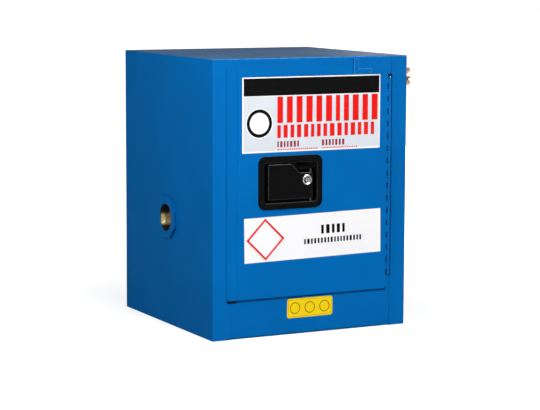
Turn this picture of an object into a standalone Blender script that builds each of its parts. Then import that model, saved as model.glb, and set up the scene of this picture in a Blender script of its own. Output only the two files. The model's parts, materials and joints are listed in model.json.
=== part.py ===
"""A countertop safety cabinet: double-walled sheet steel, one door on a piano hinge, a paddle latch with a
key lock, two vents, a grounding stud and an adjustable shelf.

The frame: X runs to the right, the front faces -Y, Z is up, and the origin is the middle of the footprint
on the surface that the cabinet stands on. Depths named ..._depth count inwards from the stiles' front face.
"""

import math

import bmesh
import bpy
from mathutils import Matrix, Vector

MM = 0.001

# Cabinet body
WIDTH = 438.0 * MM
DEPTH = 432.0 * MM
HEIGHT = 554.0 * MM
SHEET = 1.2 * MM
BEND = 2.0 * MM
SEAM = 0.3 * MM
WALL = 38.0 * MM
LEFT_STILE = 40.4 * MM
RIGHT_STILE = 36.5 * MM
LEFT_JAMB = 56.0 * MM
RIGHT_JAMB = 34.3 * MM
HEADER_HEIGHT = 40.0 * MM
SILL_HEIGHT = 104.0 * MM
SILL_LIFT = 3.0 * MM
SUMP_DEPTH = 50.8 * MM
JAMB_DEPTH = 37.5 * MM

# Door
DOOR_LEFT = 30.0 * MM
DOOR_RIGHT_GAP = 46.5 * MM
DOOR_TOP_GAP = 13.0 * MM
DOOR_BOTTOM = 78.0 * MM
DOOR_PROUD = 3.0 * MM
DOOR_CORNER = 6.5 * MM
LATCH_STRIP = 25.0 * MM
LATCH_STEP = 0.8 * MM
PAN_DEPTH = 30.0 * MM
PAN_SIDE_GAP = 2.5 * MM
PAN_END_GAP = 3.0 * MM

# Piano hinge
BARREL_GAP = 1.9 * MM
BARREL_RADIUS = 2.9 * MM
PIN_RADIUS = 1.5 * MM
KNUCKLE_BORE = 1.7 * MM
LEAF = 1.2 * MM
LEAF_INSET = 0.1 * MM
LEAF_REACH = 31.0 * MM
LEAF_BEND = 1.2 * MM
LEAF_STEP_DEPTH = 4.0 * MM
WRAP_SINK = 0.1 * MM
WRAP_THICK = 1.0 * MM
KNUCKLE_LENGTH = 12.6 * MM
HINGE_END_GAP = 0.4 * MM
KNUCKLE_GAP = 0.3 * MM
KNUCKLE_TAB_START = 0.5 * MM
TAB_INSET = 0.4 * MM
JAMB_GAP = 0.3 * MM
PIN_OVERHANG = 0.8 * MM

# Corner angle on the door
ANGLE_LEFT = 310.5 * MM
ANGLE_LENGTH = 41.0 * MM
ANGLE_HEIGHT = 31.5 * MM
ANGLE_LEG = 10.5 * MM
ANGLE_THICK = 4.0 * MM
ANGLE_DROP = 35.0 * MM
ANGLE_CORNER = 1.5 * MM

# Handle dish
DISH_LEFT = 97.7 * MM
DISH_WIDTH = 142.7 * MM
DISH_RISE = 177.0 * MM
DISH_HEIGHT = 106.0 * MM
DISH_CORNER = 14.0 * MM
BEZEL = 2.4 * MM
BEZEL_ROUND = 1.4 * MM
POCKET_LEFT_RIM = 12.3 * MM
POCKET_RIGHT_RIM = 12.4 * MM
POCKET_BOTTOM_RIM = 12.5 * MM
POCKET_TOP_RIM = 14.0 * MM
POCKET_CORNER = 5.0 * MM
POCKET_DEPTH = 17.0 * MM
DISH_WALL = 2.0 * MM
LEDGE_WIDTH = 44.0 * MM
LEDGE_HEIGHT = 14.0 * MM
LEDGE_DEPTH = 5.0 * MM

# Paddle
PADDLE_THICK = 3.0 * MM
PADDLE_SINK = 0.6 * MM
PADDLE_LEFT_GAP = 9.0 * MM
PADDLE_RIGHT_GAP = 9.5 * MM
PADDLE_BOTTOM_GAP = 6.0 * MM
PADDLE_TOP_GAP = 2.5 * MM
PADDLE_STEP = 18.5 * MM
GRIP_WIDTH = 52.0 * MM
PADDLE_CORNER = 3.0 * MM
PADDLE_EDGE = 0.6 * MM
PADDLE_ANGLE_DEG = 30.0
PADDLE_PIN_RADIUS = 2.0 * MM
PADDLE_PIN_INSET = 11.0 * MM
PADDLE_PIN_DROP = 7.0 * MM
PIN_SOCKET = 1.2 * MM
PADDLE_EYE_WALL = 1.5 * MM
EYE_NECK_SHARE = 0.8
RUNNING = 0.15 * MM
TAIL_WIDTH = 5.0 * MM
TAIL_HEIGHT = 6.0 * MM
TAIL_RISE = 9.0 * MM
TAIL_DEPTH = 21.0 * MM
TAIL_CLEAR = 1.5 * MM

# Lock
LOCK_INSET = 12.6 * MM
LOCK_HEIGHT = 37.3 * MM
LOCK_FLANGE_RADIUS = 10.5 * MM
LOCK_FLANGE = 1.6 * MM
FLANGE_FACE_SHARE = 0.86
LOCK_BARREL_RADIUS = 6.6 * MM
LOCK_BARREL_LENGTH = 9.0 * MM
PLUG_RADIUS = 4.8 * MM
PLUG_PROUD = 0.5 * MM
KEYWAY_WIDTH = 1.4 * MM
KEYWAY_HEIGHT = 6.4 * MM
KEYWAY_DEPTH = 5.0 * MM
CAM_LENGTH = 9.0 * MM
CAM_WIDTH = 6.0 * MM
CAM_THICK = 1.6 * MM
CAM_SINK_SHARE = 0.1

# Latch works inside the door
LATCH_PLATE = 1.2 * MM
LATCH_PLATE_MARGIN = 3.0 * MM
LEVER_ARM = 22.0 * MM
LEVER_WIDTH = 8.0 * MM
LEVER_THICK = 2.5 * MM
LEVER_STANDOFF = 0.5 * MM
LEVER_GAP = 1.4 * MM
LEVER_PIN_RADIUS = 2.5 * MM
LEVER_HEAD_SHARE = 1.6
LEVER_ROUND_SHARE = 0.9
BOLT_HEIGHT = 12.0 * MM
BOLT_THICK = 5.0 * MM
BOLT_STANDOFF = 1.2 * MM
BOLT_BEHIND = 24.0 * MM
BOLT_NOSE_GAP = 0.4 * MM
BOLT_SLOT_WIDTH = 6.4 * MM
BOLT_SLOT_HEIGHT = 9.0 * MM
DRIVE_PEG_RADIUS = 2.0 * MM
GUIDE_WIDTH = 8.0 * MM
GUIDE_WALL = 2.0 * MM
GUIDE_INSET = 12.0 * MM
STRIKE_THICK = 3.0 * MM
STRIKE_MARGIN = 9.0 * MM
STRIKE_CLEAR = 1.5 * MM

# Inside
SHELF_DROP = 15.5 * MM
SHELF_SIDE_GAP = 6.5 * MM
SHELF_FRONT_GAP = 14.0 * MM
SHELF_BACK_GAP = 6.0 * MM
SHELF_LIP = 12.0 * MM
STANDARD_WIDTH = 18.0 * MM
STANDARD_THICK = 2.5 * MM
STANDARD_FRONT = 90.0 * MM
STANDARD_BACK = 92.0 * MM
STANDARD_END_GAP = 22.0 * MM
SLOT_PITCH = 50.8 * MM
SLOT_WIDTH = 5.0 * MM
SLOT_HEIGHT = 14.0 * MM
CLIP_WIDTH = 14.0 * MM
CLIP_HEIGHT = 26.0 * MM
CLIP_REACH = 15.0 * MM
CLIP_THICK = 2.0 * MM
HOOK_CLEAR = 0.5 * MM

# Vents
VENT_LEFT_HEIGHT = 221.0 * MM
VENT_RIGHT_DROP = 124.0 * MM
BOSS_FLATS = 84.0 * MM
BOSS_THICK = 4.0 * MM
SLEEVE_RADIUS = 30.2 * MM
SLEEVE_BORE = 28.2 * MM
SLEEVE_SINK = 0.4 * MM
SLEEVE_TAIL = 9.0 * MM
SLEEVE_FIT = 0.3 * MM
THREAD_PITCH = 3.2 * MM
THREAD_DEPTH = 0.9 * MM
THREAD_COUNT = 4
SCREEN_SINK = 18.0 * MM
SCREEN_THICK = 3.0 * MM
RING_THICK = 1.6 * MM
RING_WIDTH = 2.4 * MM
LOCKNUT_FLATS = 70.0 * MM
LOCKNUT_THICK = 7.0 * MM

# Grounding lug
GROUND_DROP = 44.0 * MM
GROUND_DEPTH = 21.0 * MM
STUD_RADIUS = 3.8 * MM
STUD_LENGTH = 19.0 * MM
STUD_HEAD_RADIUS = 8.0 * MM
STUD_HEAD = 3.0 * MM
GROUND_NUT_FLATS = 13.0 * MM
GROUND_NUT = 4.5 * MM
WASHER_RADIUS = 8.5 * MM
WASHER = 1.4 * MM
WING_SPAN = 36.0 * MM
WING_HUB_RADIUS = 6.5 * MM
WING_HUB = 7.5 * MM
WING_THICK = 3.2 * MM
WING_HEIGHT = 13.0 * MM
WING_TIP_RADIUS = 5.0 * MM
WING_ARC_START_DEG = -60.0
WING_ARC_DEG = 210.0
WING_ROOT_LOW_SHARE = 0.11
WING_ROOT_HIGH_SHARE = 0.71

# How finely curves are divided, and how far a cutter runs past what it cuts
SIDE_COUNT = 32
SMALL_SIDE_COUNT = 20
KNUCKLE_SIDE_COUNT = 12
ARC_STEP_COUNT = 4
OVERRUN = 2.0 * MM
WELD = 0.01 * MM
SHARP_ANGLE_DEG = 40.0

# Places worked out from the sizes above
LEFT = -WIDTH / 2
RIGHT = WIDTH / 2
FRONT = -DEPTH / 2
BACK = DEPTH / 2
HALF_SHEET = SHEET / 2

OPEN_LEFT = LEFT + LEFT_JAMB
OPEN_RIGHT = RIGHT - RIGHT_JAMB
OPEN_BOTTOM = SILL_HEIGHT
OPEN_TOP = HEIGHT - HEADER_HEIGHT
JAMB_BACK = FRONT + JAMB_DEPTH

LINER_LEFT = LEFT + WALL
LINER_RIGHT = RIGHT - WALL
LINER_BACK = BACK - WALL
FLOOR_TOP = SILL_HEIGHT - SUMP_DEPTH

SKIN_LEFT = LEFT + DOOR_LEFT
SKIN_RIGHT = RIGHT - DOOR_RIGHT_GAP
SKIN_TOP = HEIGHT - DOOR_TOP_GAP
SKIN_FRONT = FRONT - DOOR_PROUD
SKIN_BACK = SKIN_FRONT + SHEET

HINGE_X = SKIN_RIGHT + BARREL_GAP + BARREL_RADIUS
HINGE_Y = FRONT - DOOR_PROUD
PAN_LEFT = OPEN_LEFT + PAN_SIDE_GAP
PAN_RIGHT = HINGE_X - BARREL_RADIUS - JAMB_GAP
PAN_BOTTOM = OPEN_BOTTOM + PAN_END_GAP
PAN_TOP = OPEN_TOP - PAN_END_GAP
PAN_BACK = FRONT + PAN_DEPTH
HINGE_BOTTOM = PAN_BOTTOM + HINGE_END_GAP
HINGE_LENGTH = PAN_TOP - HINGE_END_GAP - HINGE_BOTTOM
KNUCKLE_PAIR_COUNT = round(HINGE_LENGTH / KNUCKLE_LENGTH / 2)
KNUCKLE_PITCH = HINGE_LENGTH / KNUCKLE_PAIR_COUNT / 2

ANGLE_BASE = HEIGHT - ANGLE_DROP

DISH_X = LEFT + DISH_LEFT
DISH_RIGHT = DISH_X + DISH_WIDTH
DISH_BOTTOM = DOOR_BOTTOM + DISH_RISE
DISH_TOP = DISH_BOTTOM + DISH_HEIGHT
BEZEL_BACK = SKIN_FRONT - SEAM
BEZEL_FRONT = BEZEL_BACK - BEZEL
POCKET_LEFT = DISH_X + POCKET_LEFT_RIM
POCKET_RIGHT = DISH_RIGHT - POCKET_RIGHT_RIM
POCKET_BOTTOM = DISH_BOTTOM + POCKET_BOTTOM_RIM
POCKET_TOP = DISH_TOP - POCKET_TOP_RIM
POCKET_BACK = BEZEL_FRONT + POCKET_DEPTH
DISH_BACK = POCKET_BACK + DISH_WALL
LEDGE_FRONT = BEZEL_FRONT + LEDGE_DEPTH

PADDLE_FRONT = BEZEL_FRONT + PADDLE_SINK
PADDLE_BACK = PADDLE_FRONT + PADDLE_THICK
PADDLE_LEFT = POCKET_LEFT + PADDLE_LEFT_GAP
PADDLE_RIGHT = POCKET_RIGHT - PADDLE_RIGHT_GAP
PADDLE_BOTTOM = POCKET_BOTTOM + PADDLE_BOTTOM_GAP
PADDLE_TOP = POCKET_TOP - PADDLE_TOP_GAP
PADDLE_X = POCKET_RIGHT - PADDLE_PIN_INSET
PADDLE_Y = PADDLE_FRONT + PADDLE_PIN_DROP
EYE_RADIUS = PADDLE_PIN_RADIUS + RUNNING + PADDLE_EYE_WALL
TAIL_BOTTOM = PADDLE_BOTTOM + TAIL_RISE
TAIL_TOP = TAIL_BOTTOM + TAIL_HEIGHT
TAIL_BACK = PADDLE_Y + TAIL_DEPTH
LOCK_X = PADDLE_RIGHT - LOCK_INSET
LOCK_Z = PADDLE_BOTTOM + LOCK_HEIGHT

LATCH_FRONT = DISH_BACK + SEAM
LATCH_BACK = LATCH_FRONT + LATCH_PLATE
TAIL_SWEEP = (LATCH_BACK - PADDLE_Y) * math.tan(math.radians(PADDLE_ANGLE_DEG))
LEVER_FRONT = LATCH_BACK + LEVER_STANDOFF
LEVER_BACK = LEVER_FRONT + LEVER_THICK
LEVER_X = PADDLE_X - TAIL_WIDTH / 2 - LEVER_GAP - LEVER_WIDTH / 2
LEVER_LOW = (TAIL_BOTTOM + TAIL_TOP) / 2
LEVER_Z = LEVER_LOW + LEVER_ARM
BOLT_Z = LEVER_Z + LEVER_ARM
BOLT_FRONT = LEVER_BACK + BOLT_STANDOFF
BOLT_BACK = BOLT_FRONT + BOLT_THICK
BOLT_LEFT = PAN_LEFT + BOLT_NOSE_GAP
BOLT_RIGHT = LEVER_X + BOLT_BEHIND

VENT_RIGHT_HEIGHT = HEIGHT - VENT_RIGHT_DROP
VENTS_MIDDLE = (VENT_LEFT_HEIGHT + VENT_RIGHT_HEIGHT) / 2

SHELF_TOP = VENTS_MIDDLE - SHELF_DROP
SHELF_LEFT = LINER_LEFT + SHELF_SIDE_GAP
SHELF_RIGHT = LINER_RIGHT - SHELF_SIDE_GAP
SHELF_FRONT = JAMB_BACK + SHELF_FRONT_GAP
SHELF_BACK = LINER_BACK - SHELF_BACK_GAP
CLIP_TOP = SHELF_TOP - SHEET - SEAM
STANDARD_BOTTOM = FLOOR_TOP + STANDARD_END_GAP
STANDARD_TOP = OPEN_TOP - STANDARD_END_GAP

GROUND_Y = FRONT + GROUND_DEPTH
GROUND_Z = HEIGHT - GROUND_DROP

COLLECTION_NAME = "Safety cabinet"
CUTTERS_NAME = "Cutters"


# Scene and materials

def clear_scene():
    for old in list(bpy.data.objects):
        bpy.data.objects.remove(old, do_unlink=True)


def make_collection(name):
    collection = bpy.data.collections.new(name)
    bpy.context.scene.collection.children.link(collection)
    return collection


def make_material(name, colour, roughness, metallic):
    material = bpy.data.materials.new(name)
    material.use_nodes = True
    shader = material.node_tree.nodes["Principled BSDF"]
    shader.inputs["Base Color"].default_value = (*colour, 1.0)
    shader.inputs["Roughness"].default_value = roughness
    shader.inputs["Metallic"].default_value = metallic
    material.diffuse_color = (*colour, 1.0)
    return material


clear_scene()
PARTS = make_collection(COLLECTION_NAME)
CUTTERS = make_collection(CUTTERS_NAME)

BLUE = make_material("blue_powder_coat", (0.0, 0.138, 0.445), 0.45, 0.0)
BLACK = make_material("black_moulding", (0.008, 0.008, 0.009), 0.4, 0.0)
ZINC = make_material("yellow_zinc", (0.62, 0.5, 0.2), 0.35, 1.0)
STEEL = make_material("bright_steel", (0.62, 0.62, 0.6), 0.3, 1.0)
BLACK_STEEL = make_material("black_steel", (0.05, 0.05, 0.055), 0.4, 1.0)
GALVANISED = make_material("galvanised_steel", (0.52, 0.54, 0.55), 0.45, 1.0)
BRASS = make_material("brass", (0.6, 0.38, 0.16), 0.35, 1.0)
MESH = make_material("arrester_mesh", (0.2, 0.18, 0.15), 0.5, 1.0)


# Shape helpers

def add_object(name, mesh, material):
    built = bpy.data.objects.new(name, mesh)
    if material is None:
        CUTTERS.objects.link(built)
        built.hide_render = True
        built.display_type = "WIRE"
    else:
        PARTS.objects.link(built)
        mesh.materials.clear()
        mesh.materials.append(material)
    return built


def take_mesh(primitive, name, material):
    """Turn the primitive that an operator just added into an object with its place in its mesh."""
    mesh = primitive.data
    mesh.transform(primitive.matrix_world)
    bpy.data.objects.remove(primitive, do_unlink=True)
    return add_object(name, mesh, material)


def box(name, x0, x1, y0, y1, z0, z1, material=None):
    bpy.ops.mesh.primitive_cube_add(size=1.0)
    cube = bpy.context.object
    size = Matrix.Diagonal((x1 - x0, y1 - y0, z1 - z0, 1.0))
    cube.matrix_world = Matrix.Translation(((x0 + x1) / 2, (y0 + y1) / 2, (z0 + z1) / 2)) @ size
    return take_mesh(cube, name, material)


def turn_to(along):
    """The turn that takes local Z to the named axis, and a flat outline's two directions to the other two."""
    if along == "X":
        return Matrix(((0, 0, 1), (1, 0, 0), (0, 1, 0))).to_4x4()
    if along == "Y":
        return Matrix(((1, 0, 0), (0, 0, -1), (0, 1, 0))).to_4x4()
    return Matrix.Identity(4)


def axis_vector(along):
    return {"X": Vector((1, 0, 0)), "Y": Vector((0, 1, 0)), "Z": Vector((0, 0, 1))}[along]


def cylinder(name, centre, radius, low, high, along, steps, material=None):
    """A rod from low to high along one axis; centre gives its place across that axis."""
    bpy.ops.mesh.primitive_cylinder_add(vertices=steps, radius=radius, depth=high - low)
    rod = bpy.context.object
    place = Vector(centre) + axis_vector(along) * ((low + high) / 2)
    rod.matrix_world = Matrix.Translation(place) @ turn_to(along)
    mesh_object = take_mesh(rod, name, material)
    shade(mesh_object.data)
    return mesh_object


def prism(name, outline, low, high, along, material=None):
    """A flat outline pushed from low to high: (y, z) points along X, (x, z) along Y, (x, y) along Z."""
    curve = bpy.data.curves.new(name + "_outline", "CURVE")
    curve.dimensions = "2D"
    curve.fill_mode = "BOTH"
    curve.extrude = (high - low) / 2
    spline = curve.splines.new("POLY")
    spline.points.add(len(outline) - 1)
    for point, (u, v) in zip(spline.points, outline):
        point.co = (u, v, 0, 1)
    spline.use_cyclic_u = True
    holder = bpy.data.objects.new(name + "_outline", curve)
    bpy.context.scene.collection.objects.link(holder)
    middle = axis_vector(along) * ((low + high) / 2)
    holder.matrix_world = Matrix.Translation(middle) @ turn_to(along)
    bpy.context.view_layer.update()
    mesh = bpy.data.meshes.new_from_object(holder.evaluated_get(bpy.context.evaluated_depsgraph_get()))
    mesh.transform(holder.matrix_world)
    weld(mesh)
    shade(mesh)
    bpy.data.objects.remove(holder, do_unlink=True)
    return add_object(name, mesh, material)


def shade(mesh):
    """Smooth shading with sharp edges where faces meet at more than the sharp angle."""
    mesh.shade_smooth()
    mesh.set_sharp_from_angle(angle=math.radians(SHARP_ANGLE_DEG))


def weld(mesh):
    work = bmesh.new()
    work.from_mesh(mesh)
    bmesh.ops.remove_doubles(work, verts=work.verts, dist=WELD)
    work.to_mesh(mesh)
    work.free()


def turned(name, profile, place, along, steps, material, closed=True):
    """A profile of (radius, height) points, outer side first and downwards, screwed round an axis."""
    mesh = bpy.data.meshes.new(name)
    edges = [(i, i + 1) for i in range(len(profile) - 1)]
    if closed:
        edges.append((len(profile) - 1, 0))
    mesh.from_pydata([(r, 0, h) for r, h in profile], edges, [])
    built = add_object(name, mesh, material)
    built.matrix_world = Matrix.Translation(place) @ turn_to(along)
    screw = built.modifiers.new("Turn", "SCREW")
    screw.steps = steps
    screw.render_steps = steps
    screw.use_merge_vertices = True
    screw.merge_threshold = WELD
    return built


def polygon(centre, across_flats, sides, phase_share):
    """A regular outline with a flat-to-flat size; phase_share turns it by that share of one side."""
    radius = across_flats / 2 / math.cos(math.pi / sides)
    turn = math.tau / sides
    return [
        (
            centre[0] + radius * math.cos((i + phase_share) * turn),
            centre[1] + radius * math.sin((i + phase_share) * turn),
        )
        for i in range(sides)
    ]


def fillet(points, radius, closed):
    """The points with each corner replaced by an arc of the radius."""
    rounded = []
    count = len(points)
    for i, corner in enumerate(points):
        if not closed and i in (0, count - 1):
            rounded.append(tuple(corner))
            continue
        here = Vector(corner)
        before = (Vector(points[i - 1]) - here).normalized()
        after = (Vector(points[(i + 1) % count]) - here).normalized()
        angle = before.angle(after)
        reach = radius / math.tan(angle / 2)
        centre = here + (before + after).normalized() * (radius / math.sin(angle / 2))
        start = here + before * reach - centre
        end = here + after * reach - centre
        for step in range(ARC_STEP_COUNT + 1):
            share = step / ARC_STEP_COUNT
            spoke = start.lerp(end, share).normalized() * radius
            rounded.append(tuple(centre + spoke))
    return rounded


def sheet_section(path, thickness, bend):
    """The outline of a sheet folded along a path, whose points lie on the sheet's middle surface."""
    middle = fillet(path, bend - thickness / 2, closed=False)
    sides = ([], [])
    for i, point in enumerate(middle):
        here = Vector(point)
        back = (here - Vector(middle[i - 1])).normalized() if i else None
        ahead = (Vector(middle[i + 1]) - here).normalized() if i < len(middle) - 1 else None
        run = ((back or ahead) + (ahead or back)).normalized()
        across = Vector((-run.y, run.x))
        stretch = 1 / run.dot(ahead or back)
        for side, sign in zip(sides, (1, -1)):
            side.append(tuple(here + across * (sign * thickness / 2 * stretch)))
    return sides[0] + sides[1][::-1]


def rounded_rectangle(x0, x1, z0, z1, radius):
    return fillet([(x0, z0), (x1, z0), (x1, z1), (x0, z1)], radius, closed=True)


def apply_boolean(target, tool, operation):
    change = target.modifiers.new(operation.title(), "BOOLEAN")
    change.operation = operation
    change.object = tool
    change.solver = "EXACT"
    tool.parent = target
    tool.matrix_parent_inverse = target.matrix_world.inverted()


def cut(target, tool):
    apply_boolean(target, tool, "DIFFERENCE")


def join(target, tool):
    apply_boolean(target, tool, "UNION")


def bevel(target, width, segments):
    change = target.modifiers.new("Bevel", "BEVEL")
    change.width = width
    change.segments = segments
    change.limit_method = "ANGLE"
    change.angle_limit = math.radians(SHARP_ANGLE_DEG)


def joint_empty(name, place, carrier=None):
    """An empty on a joint's axis, carried by the empty of the joint before it."""
    empty = bpy.data.objects.new(name, None)
    empty.location = place
    PARTS.objects.link(empty)
    if carrier:
        empty.parent = carrier
        empty.matrix_parent_inverse = carrier.matrix_world.inverted()
    bpy.context.view_layer.update()
    return empty


def hang(child, empty):
    """Parent a piece to its joint's empty and leave it where it is."""
    child.parent = empty
    child.matrix_parent_inverse = empty.matrix_world.inverted()


# Outer body

def make_side_panel(name, side):
    """One side sheet, bent round the front corner into the stile, notched where header and sill fit."""
    outer = LEFT if side < 0 else RIGHT
    inward = -side
    stile = LEFT_STILE if side < 0 else RIGHT_STILE
    jamb = LEFT_JAMB if side < 0 else RIGHT_JAMB
    middle = outer + inward * HALF_SHEET
    path = [
        (middle, BACK),
        (middle, FRONT + HALF_SHEET),
        (outer + inward * max(stile, jamb), FRONT + HALF_SHEET),
    ]
    panel = prism(name, sheet_section(path, SHEET, BEND), 0, HEIGHT - SHEET - SEAM, "Z", BLUE)
    deep = outer + inward * (max(stile, jamb) + OVERRUN)
    spans = [(OPEN_BOTTOM - SEAM, OPEN_TOP + SEAM, jamb)]
    spans.append((-OVERRUN, OPEN_BOTTOM, stile))
    spans.append((OPEN_TOP, HEIGHT + OVERRUN, stile))
    for low, high, keep in spans:
        if keep < max(stile, jamb):
            edge = outer + inward * keep
            tool = box(
                f"{name}_notch_{len(panel.modifiers)}",
                min(edge, deep),
                max(edge, deep),
                FRONT - OVERRUN,
                FRONT + SHEET + OVERRUN,
                low,
                high,
            )
            cut(panel, tool)
    return panel


def make_top_panel():
    """The top sheet, bent down at the front into the header between the stiles."""
    path = [
        (BACK, HEIGHT - HALF_SHEET),
        (FRONT + HALF_SHEET, HEIGHT - HALF_SHEET),
        (FRONT + HALF_SHEET, OPEN_TOP),
    ]
    panel = prism("top_panel", sheet_section(path, SHEET, BEND), LEFT, RIGHT, "X", BLUE)
    ends = [
        ("left", LEFT - OVERRUN, LEFT + LEFT_STILE + SEAM),
        ("right", RIGHT - RIGHT_STILE - SEAM, RIGHT + OVERRUN),
    ]
    for label, x0, x1 in ends:
        tool = box(
            f"top_panel_notch_{label}",
            x0,
            x1,
            FRONT - OVERRUN,
            FRONT + BEND + OVERRUN,
            OPEN_TOP - OVERRUN,
            HEIGHT - SHEET,
        )
        cut(panel, tool)
    return panel


def make_sill_panel():
    """The sill: up from the base, over the jamb depth and down to the sump floor."""
    path = [
        (FRONT + HALF_SHEET, SILL_LIFT),
        (FRONT + HALF_SHEET, OPEN_BOTTOM - HALF_SHEET),
        (JAMB_BACK - HALF_SHEET, OPEN_BOTTOM - HALF_SHEET),
        (JAMB_BACK - HALF_SHEET, FLOOR_TOP - SHEET),
    ]
    left = LEFT + LEFT_STILE + SEAM
    right = RIGHT - RIGHT_STILE - SEAM
    panel = prism("sill_panel", sheet_section(path, SHEET, BEND), left, right, "X", BLUE)
    notch = box(
        "sill_panel_notch",
        left - OVERRUN,
        OPEN_LEFT,
        FRONT + SHEET + SEAM,
        JAMB_BACK + OVERRUN,
        FLOOR_TOP - SHEET - OVERRUN,
        OPEN_BOTTOM + OVERRUN,
    )
    cut(panel, notch)


def make_body():
    make_side_panel("side_panel_left", -1)
    make_side_panel("side_panel_right", 1)
    make_top_panel()
    make_sill_panel()
    inner = SHEET + SEAM
    box("base_panel", LEFT + inner, RIGHT - inner, FRONT + inner + SHEET, BACK - inner, 0, SHEET, BLUE)
    box("back_panel", LEFT + inner, RIGHT - inner, BACK - SHEET, BACK, 0, HEIGHT - inner, BLUE)


# Liner and jambs

def make_liner():
    front = JAMB_BACK + SEAM
    back = LINER_BACK
    box("liner_left", LINER_LEFT - SHEET, LINER_LEFT, front, back + SHEET, FLOOR_TOP, OPEN_TOP, BLUE)
    box("liner_right", LINER_RIGHT, LINER_RIGHT + SHEET, front, back + SHEET, FLOOR_TOP, OPEN_TOP, BLUE)
    x0 = LINER_LEFT + SEAM
    x1 = LINER_RIGHT - SEAM
    box("liner_back", x0, x1, back, back + SHEET, FLOOR_TOP + SEAM, OPEN_TOP, BLUE)
    z0 = OPEN_TOP + SEAM
    box(
        "liner_top",
        LINER_LEFT - SHEET,
        LINER_RIGHT + SHEET,
        FRONT + SHEET + SEAM,
        back + SHEET,
        z0,
        z0 + SHEET,
        BLUE,
    )
    box("sump_floor", x0, x1, JAMB_BACK + SEAM, back - SEAM, FLOOR_TOP - SHEET, FLOOR_TOP, BLUE)


def make_jamb(name, edge, liner_edge):
    """A jamb sheet from behind the stile, back through the wall and across to the liner's edge."""
    outward = -1 if edge < 0 else 1
    middle = edge + outward * HALF_SHEET
    path = [
        (middle, FRONT + SHEET + SEAM),
        (middle, JAMB_BACK - HALF_SHEET),
        (liner_edge, JAMB_BACK - HALF_SHEET),
    ]
    low = OPEN_BOTTOM + SEAM
    return prism(name, sheet_section(path, SHEET, BEND), low, OPEN_TOP, "Z", BLUE)


def make_jambs():
    left = make_jamb("jamb_left", OPEN_LEFT, LINER_LEFT - SHEET)
    make_jamb("jamb_right", OPEN_RIGHT, LINER_RIGHT)
    slot = box(
        "strike_slot",
        OPEN_LEFT - STRIKE_THICK - SHEET - OVERRUN,
        OPEN_LEFT + OVERRUN,
        BOLT_FRONT - STRIKE_CLEAR,
        BOLT_BACK + STRIKE_CLEAR,
        BOLT_Z - BOLT_HEIGHT / 2 - STRIKE_CLEAR,
        BOLT_Z + BOLT_HEIGHT / 2 + STRIKE_CLEAR,
    )
    cut(left, slot)
    face = OPEN_LEFT - SHEET - SEAM
    strike = box(
        "strike_plate",
        face - STRIKE_THICK,
        face,
        FRONT + SHEET + BEND,
        JAMB_BACK - SHEET - BEND,
        BOLT_Z - BOLT_HEIGHT / 2 - STRIKE_MARGIN,
        BOLT_Z + BOLT_HEIGHT / 2 + STRIKE_MARGIN,
        STEEL,
    )
    cut(strike, slot)


# Shelf

def make_shelf():
    """A galvanised tray with a turned-up lip all round, resting on four clips."""
    path = [
        (SHELF_FRONT + HALF_SHEET, SHELF_TOP + SHELF_LIP),
        (SHELF_FRONT + HALF_SHEET, SHELF_TOP - HALF_SHEET),
        (SHELF_BACK - HALF_SHEET, SHELF_TOP - HALF_SHEET),
        (SHELF_BACK - HALF_SHEET, SHELF_TOP + SHELF_LIP),
    ]
    shelf = prism("shelf", sheet_section(path, SHEET, BEND), SHELF_LEFT, SHELF_RIGHT, "X", GALVANISED)
    for label, x0 in (("left", SHELF_LEFT), ("right", SHELF_RIGHT - SHEET)):
        lip = box(
            f"shelf_lip_{label}",
            x0,
            x0 + SHEET,
            SHELF_FRONT + BEND,
            SHELF_BACK - BEND,
            SHELF_TOP - HALF_SHEET,
            SHELF_TOP + SHELF_LIP - SHEET,
        )
        join(shelf, lip)


def make_standard(name, wall, inward, y_middle):
    """A slotted strip on the liner wall, with its slots in line with the clip's hook."""
    face = wall + inward * SEAM
    far = face + inward * STANDARD_THICK
    strip = box(
        name,
        min(face, far),
        max(face, far),
        y_middle - STANDARD_WIDTH / 2,
        y_middle + STANDARD_WIDTH / 2,
        STANDARD_BOTTOM,
        STANDARD_TOP,
        GALVANISED,
    )
    first = CLIP_TOP - CLIP_HEIGHT / 2
    below = int((first - STANDARD_BOTTOM - SLOT_HEIGHT) / SLOT_PITCH)
    above = int((STANDARD_TOP - first - SLOT_HEIGHT) / SLOT_PITCH)
    for step in range(-below, above + 1):
        middle = first + step * SLOT_PITCH
        slot = box(
            f"{name}_slot_{step + below}",
            min(face, far) - OVERRUN,
            max(face, far) + OVERRUN,
            y_middle - SLOT_WIDTH / 2,
            y_middle + SLOT_WIDTH / 2,
            middle - SLOT_HEIGHT / 2,
            middle + SLOT_HEIGHT / 2,
        )
        cut(strip, slot)
    return far


def make_clip(name, face, inward, y_middle):
    """An angle clip: its back lies on the standard, its hook sits in a slot, and the shelf lies on it."""
    start = face + inward * SEAM
    middle = start + inward * CLIP_THICK / 2
    path = [
        (middle, CLIP_TOP - CLIP_HEIGHT),
        (middle, CLIP_TOP - CLIP_THICK / 2),
        (start + inward * CLIP_REACH, CLIP_TOP - CLIP_THICK / 2),
    ]
    low = y_middle - CLIP_WIDTH / 2
    clip = prism(name, sheet_section(path, CLIP_THICK, BEND), low, low + CLIP_WIDTH, "Y", GALVANISED)
    hook_end = face - inward * (STANDARD_THICK - HOOK_CLEAR)
    hook_root = middle
    half = SLOT_WIDTH / 2 - HOOK_CLEAR
    rise = SLOT_HEIGHT / 2 - HOOK_CLEAR
    slot_middle = CLIP_TOP - CLIP_HEIGHT / 2
    hook = box(
        f"{name}_hook",
        min(hook_end, hook_root),
        max(hook_end, hook_root),
        y_middle - half,
        y_middle + half,
        slot_middle - rise,
        slot_middle + rise,
    )
    join(clip, hook)


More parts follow.
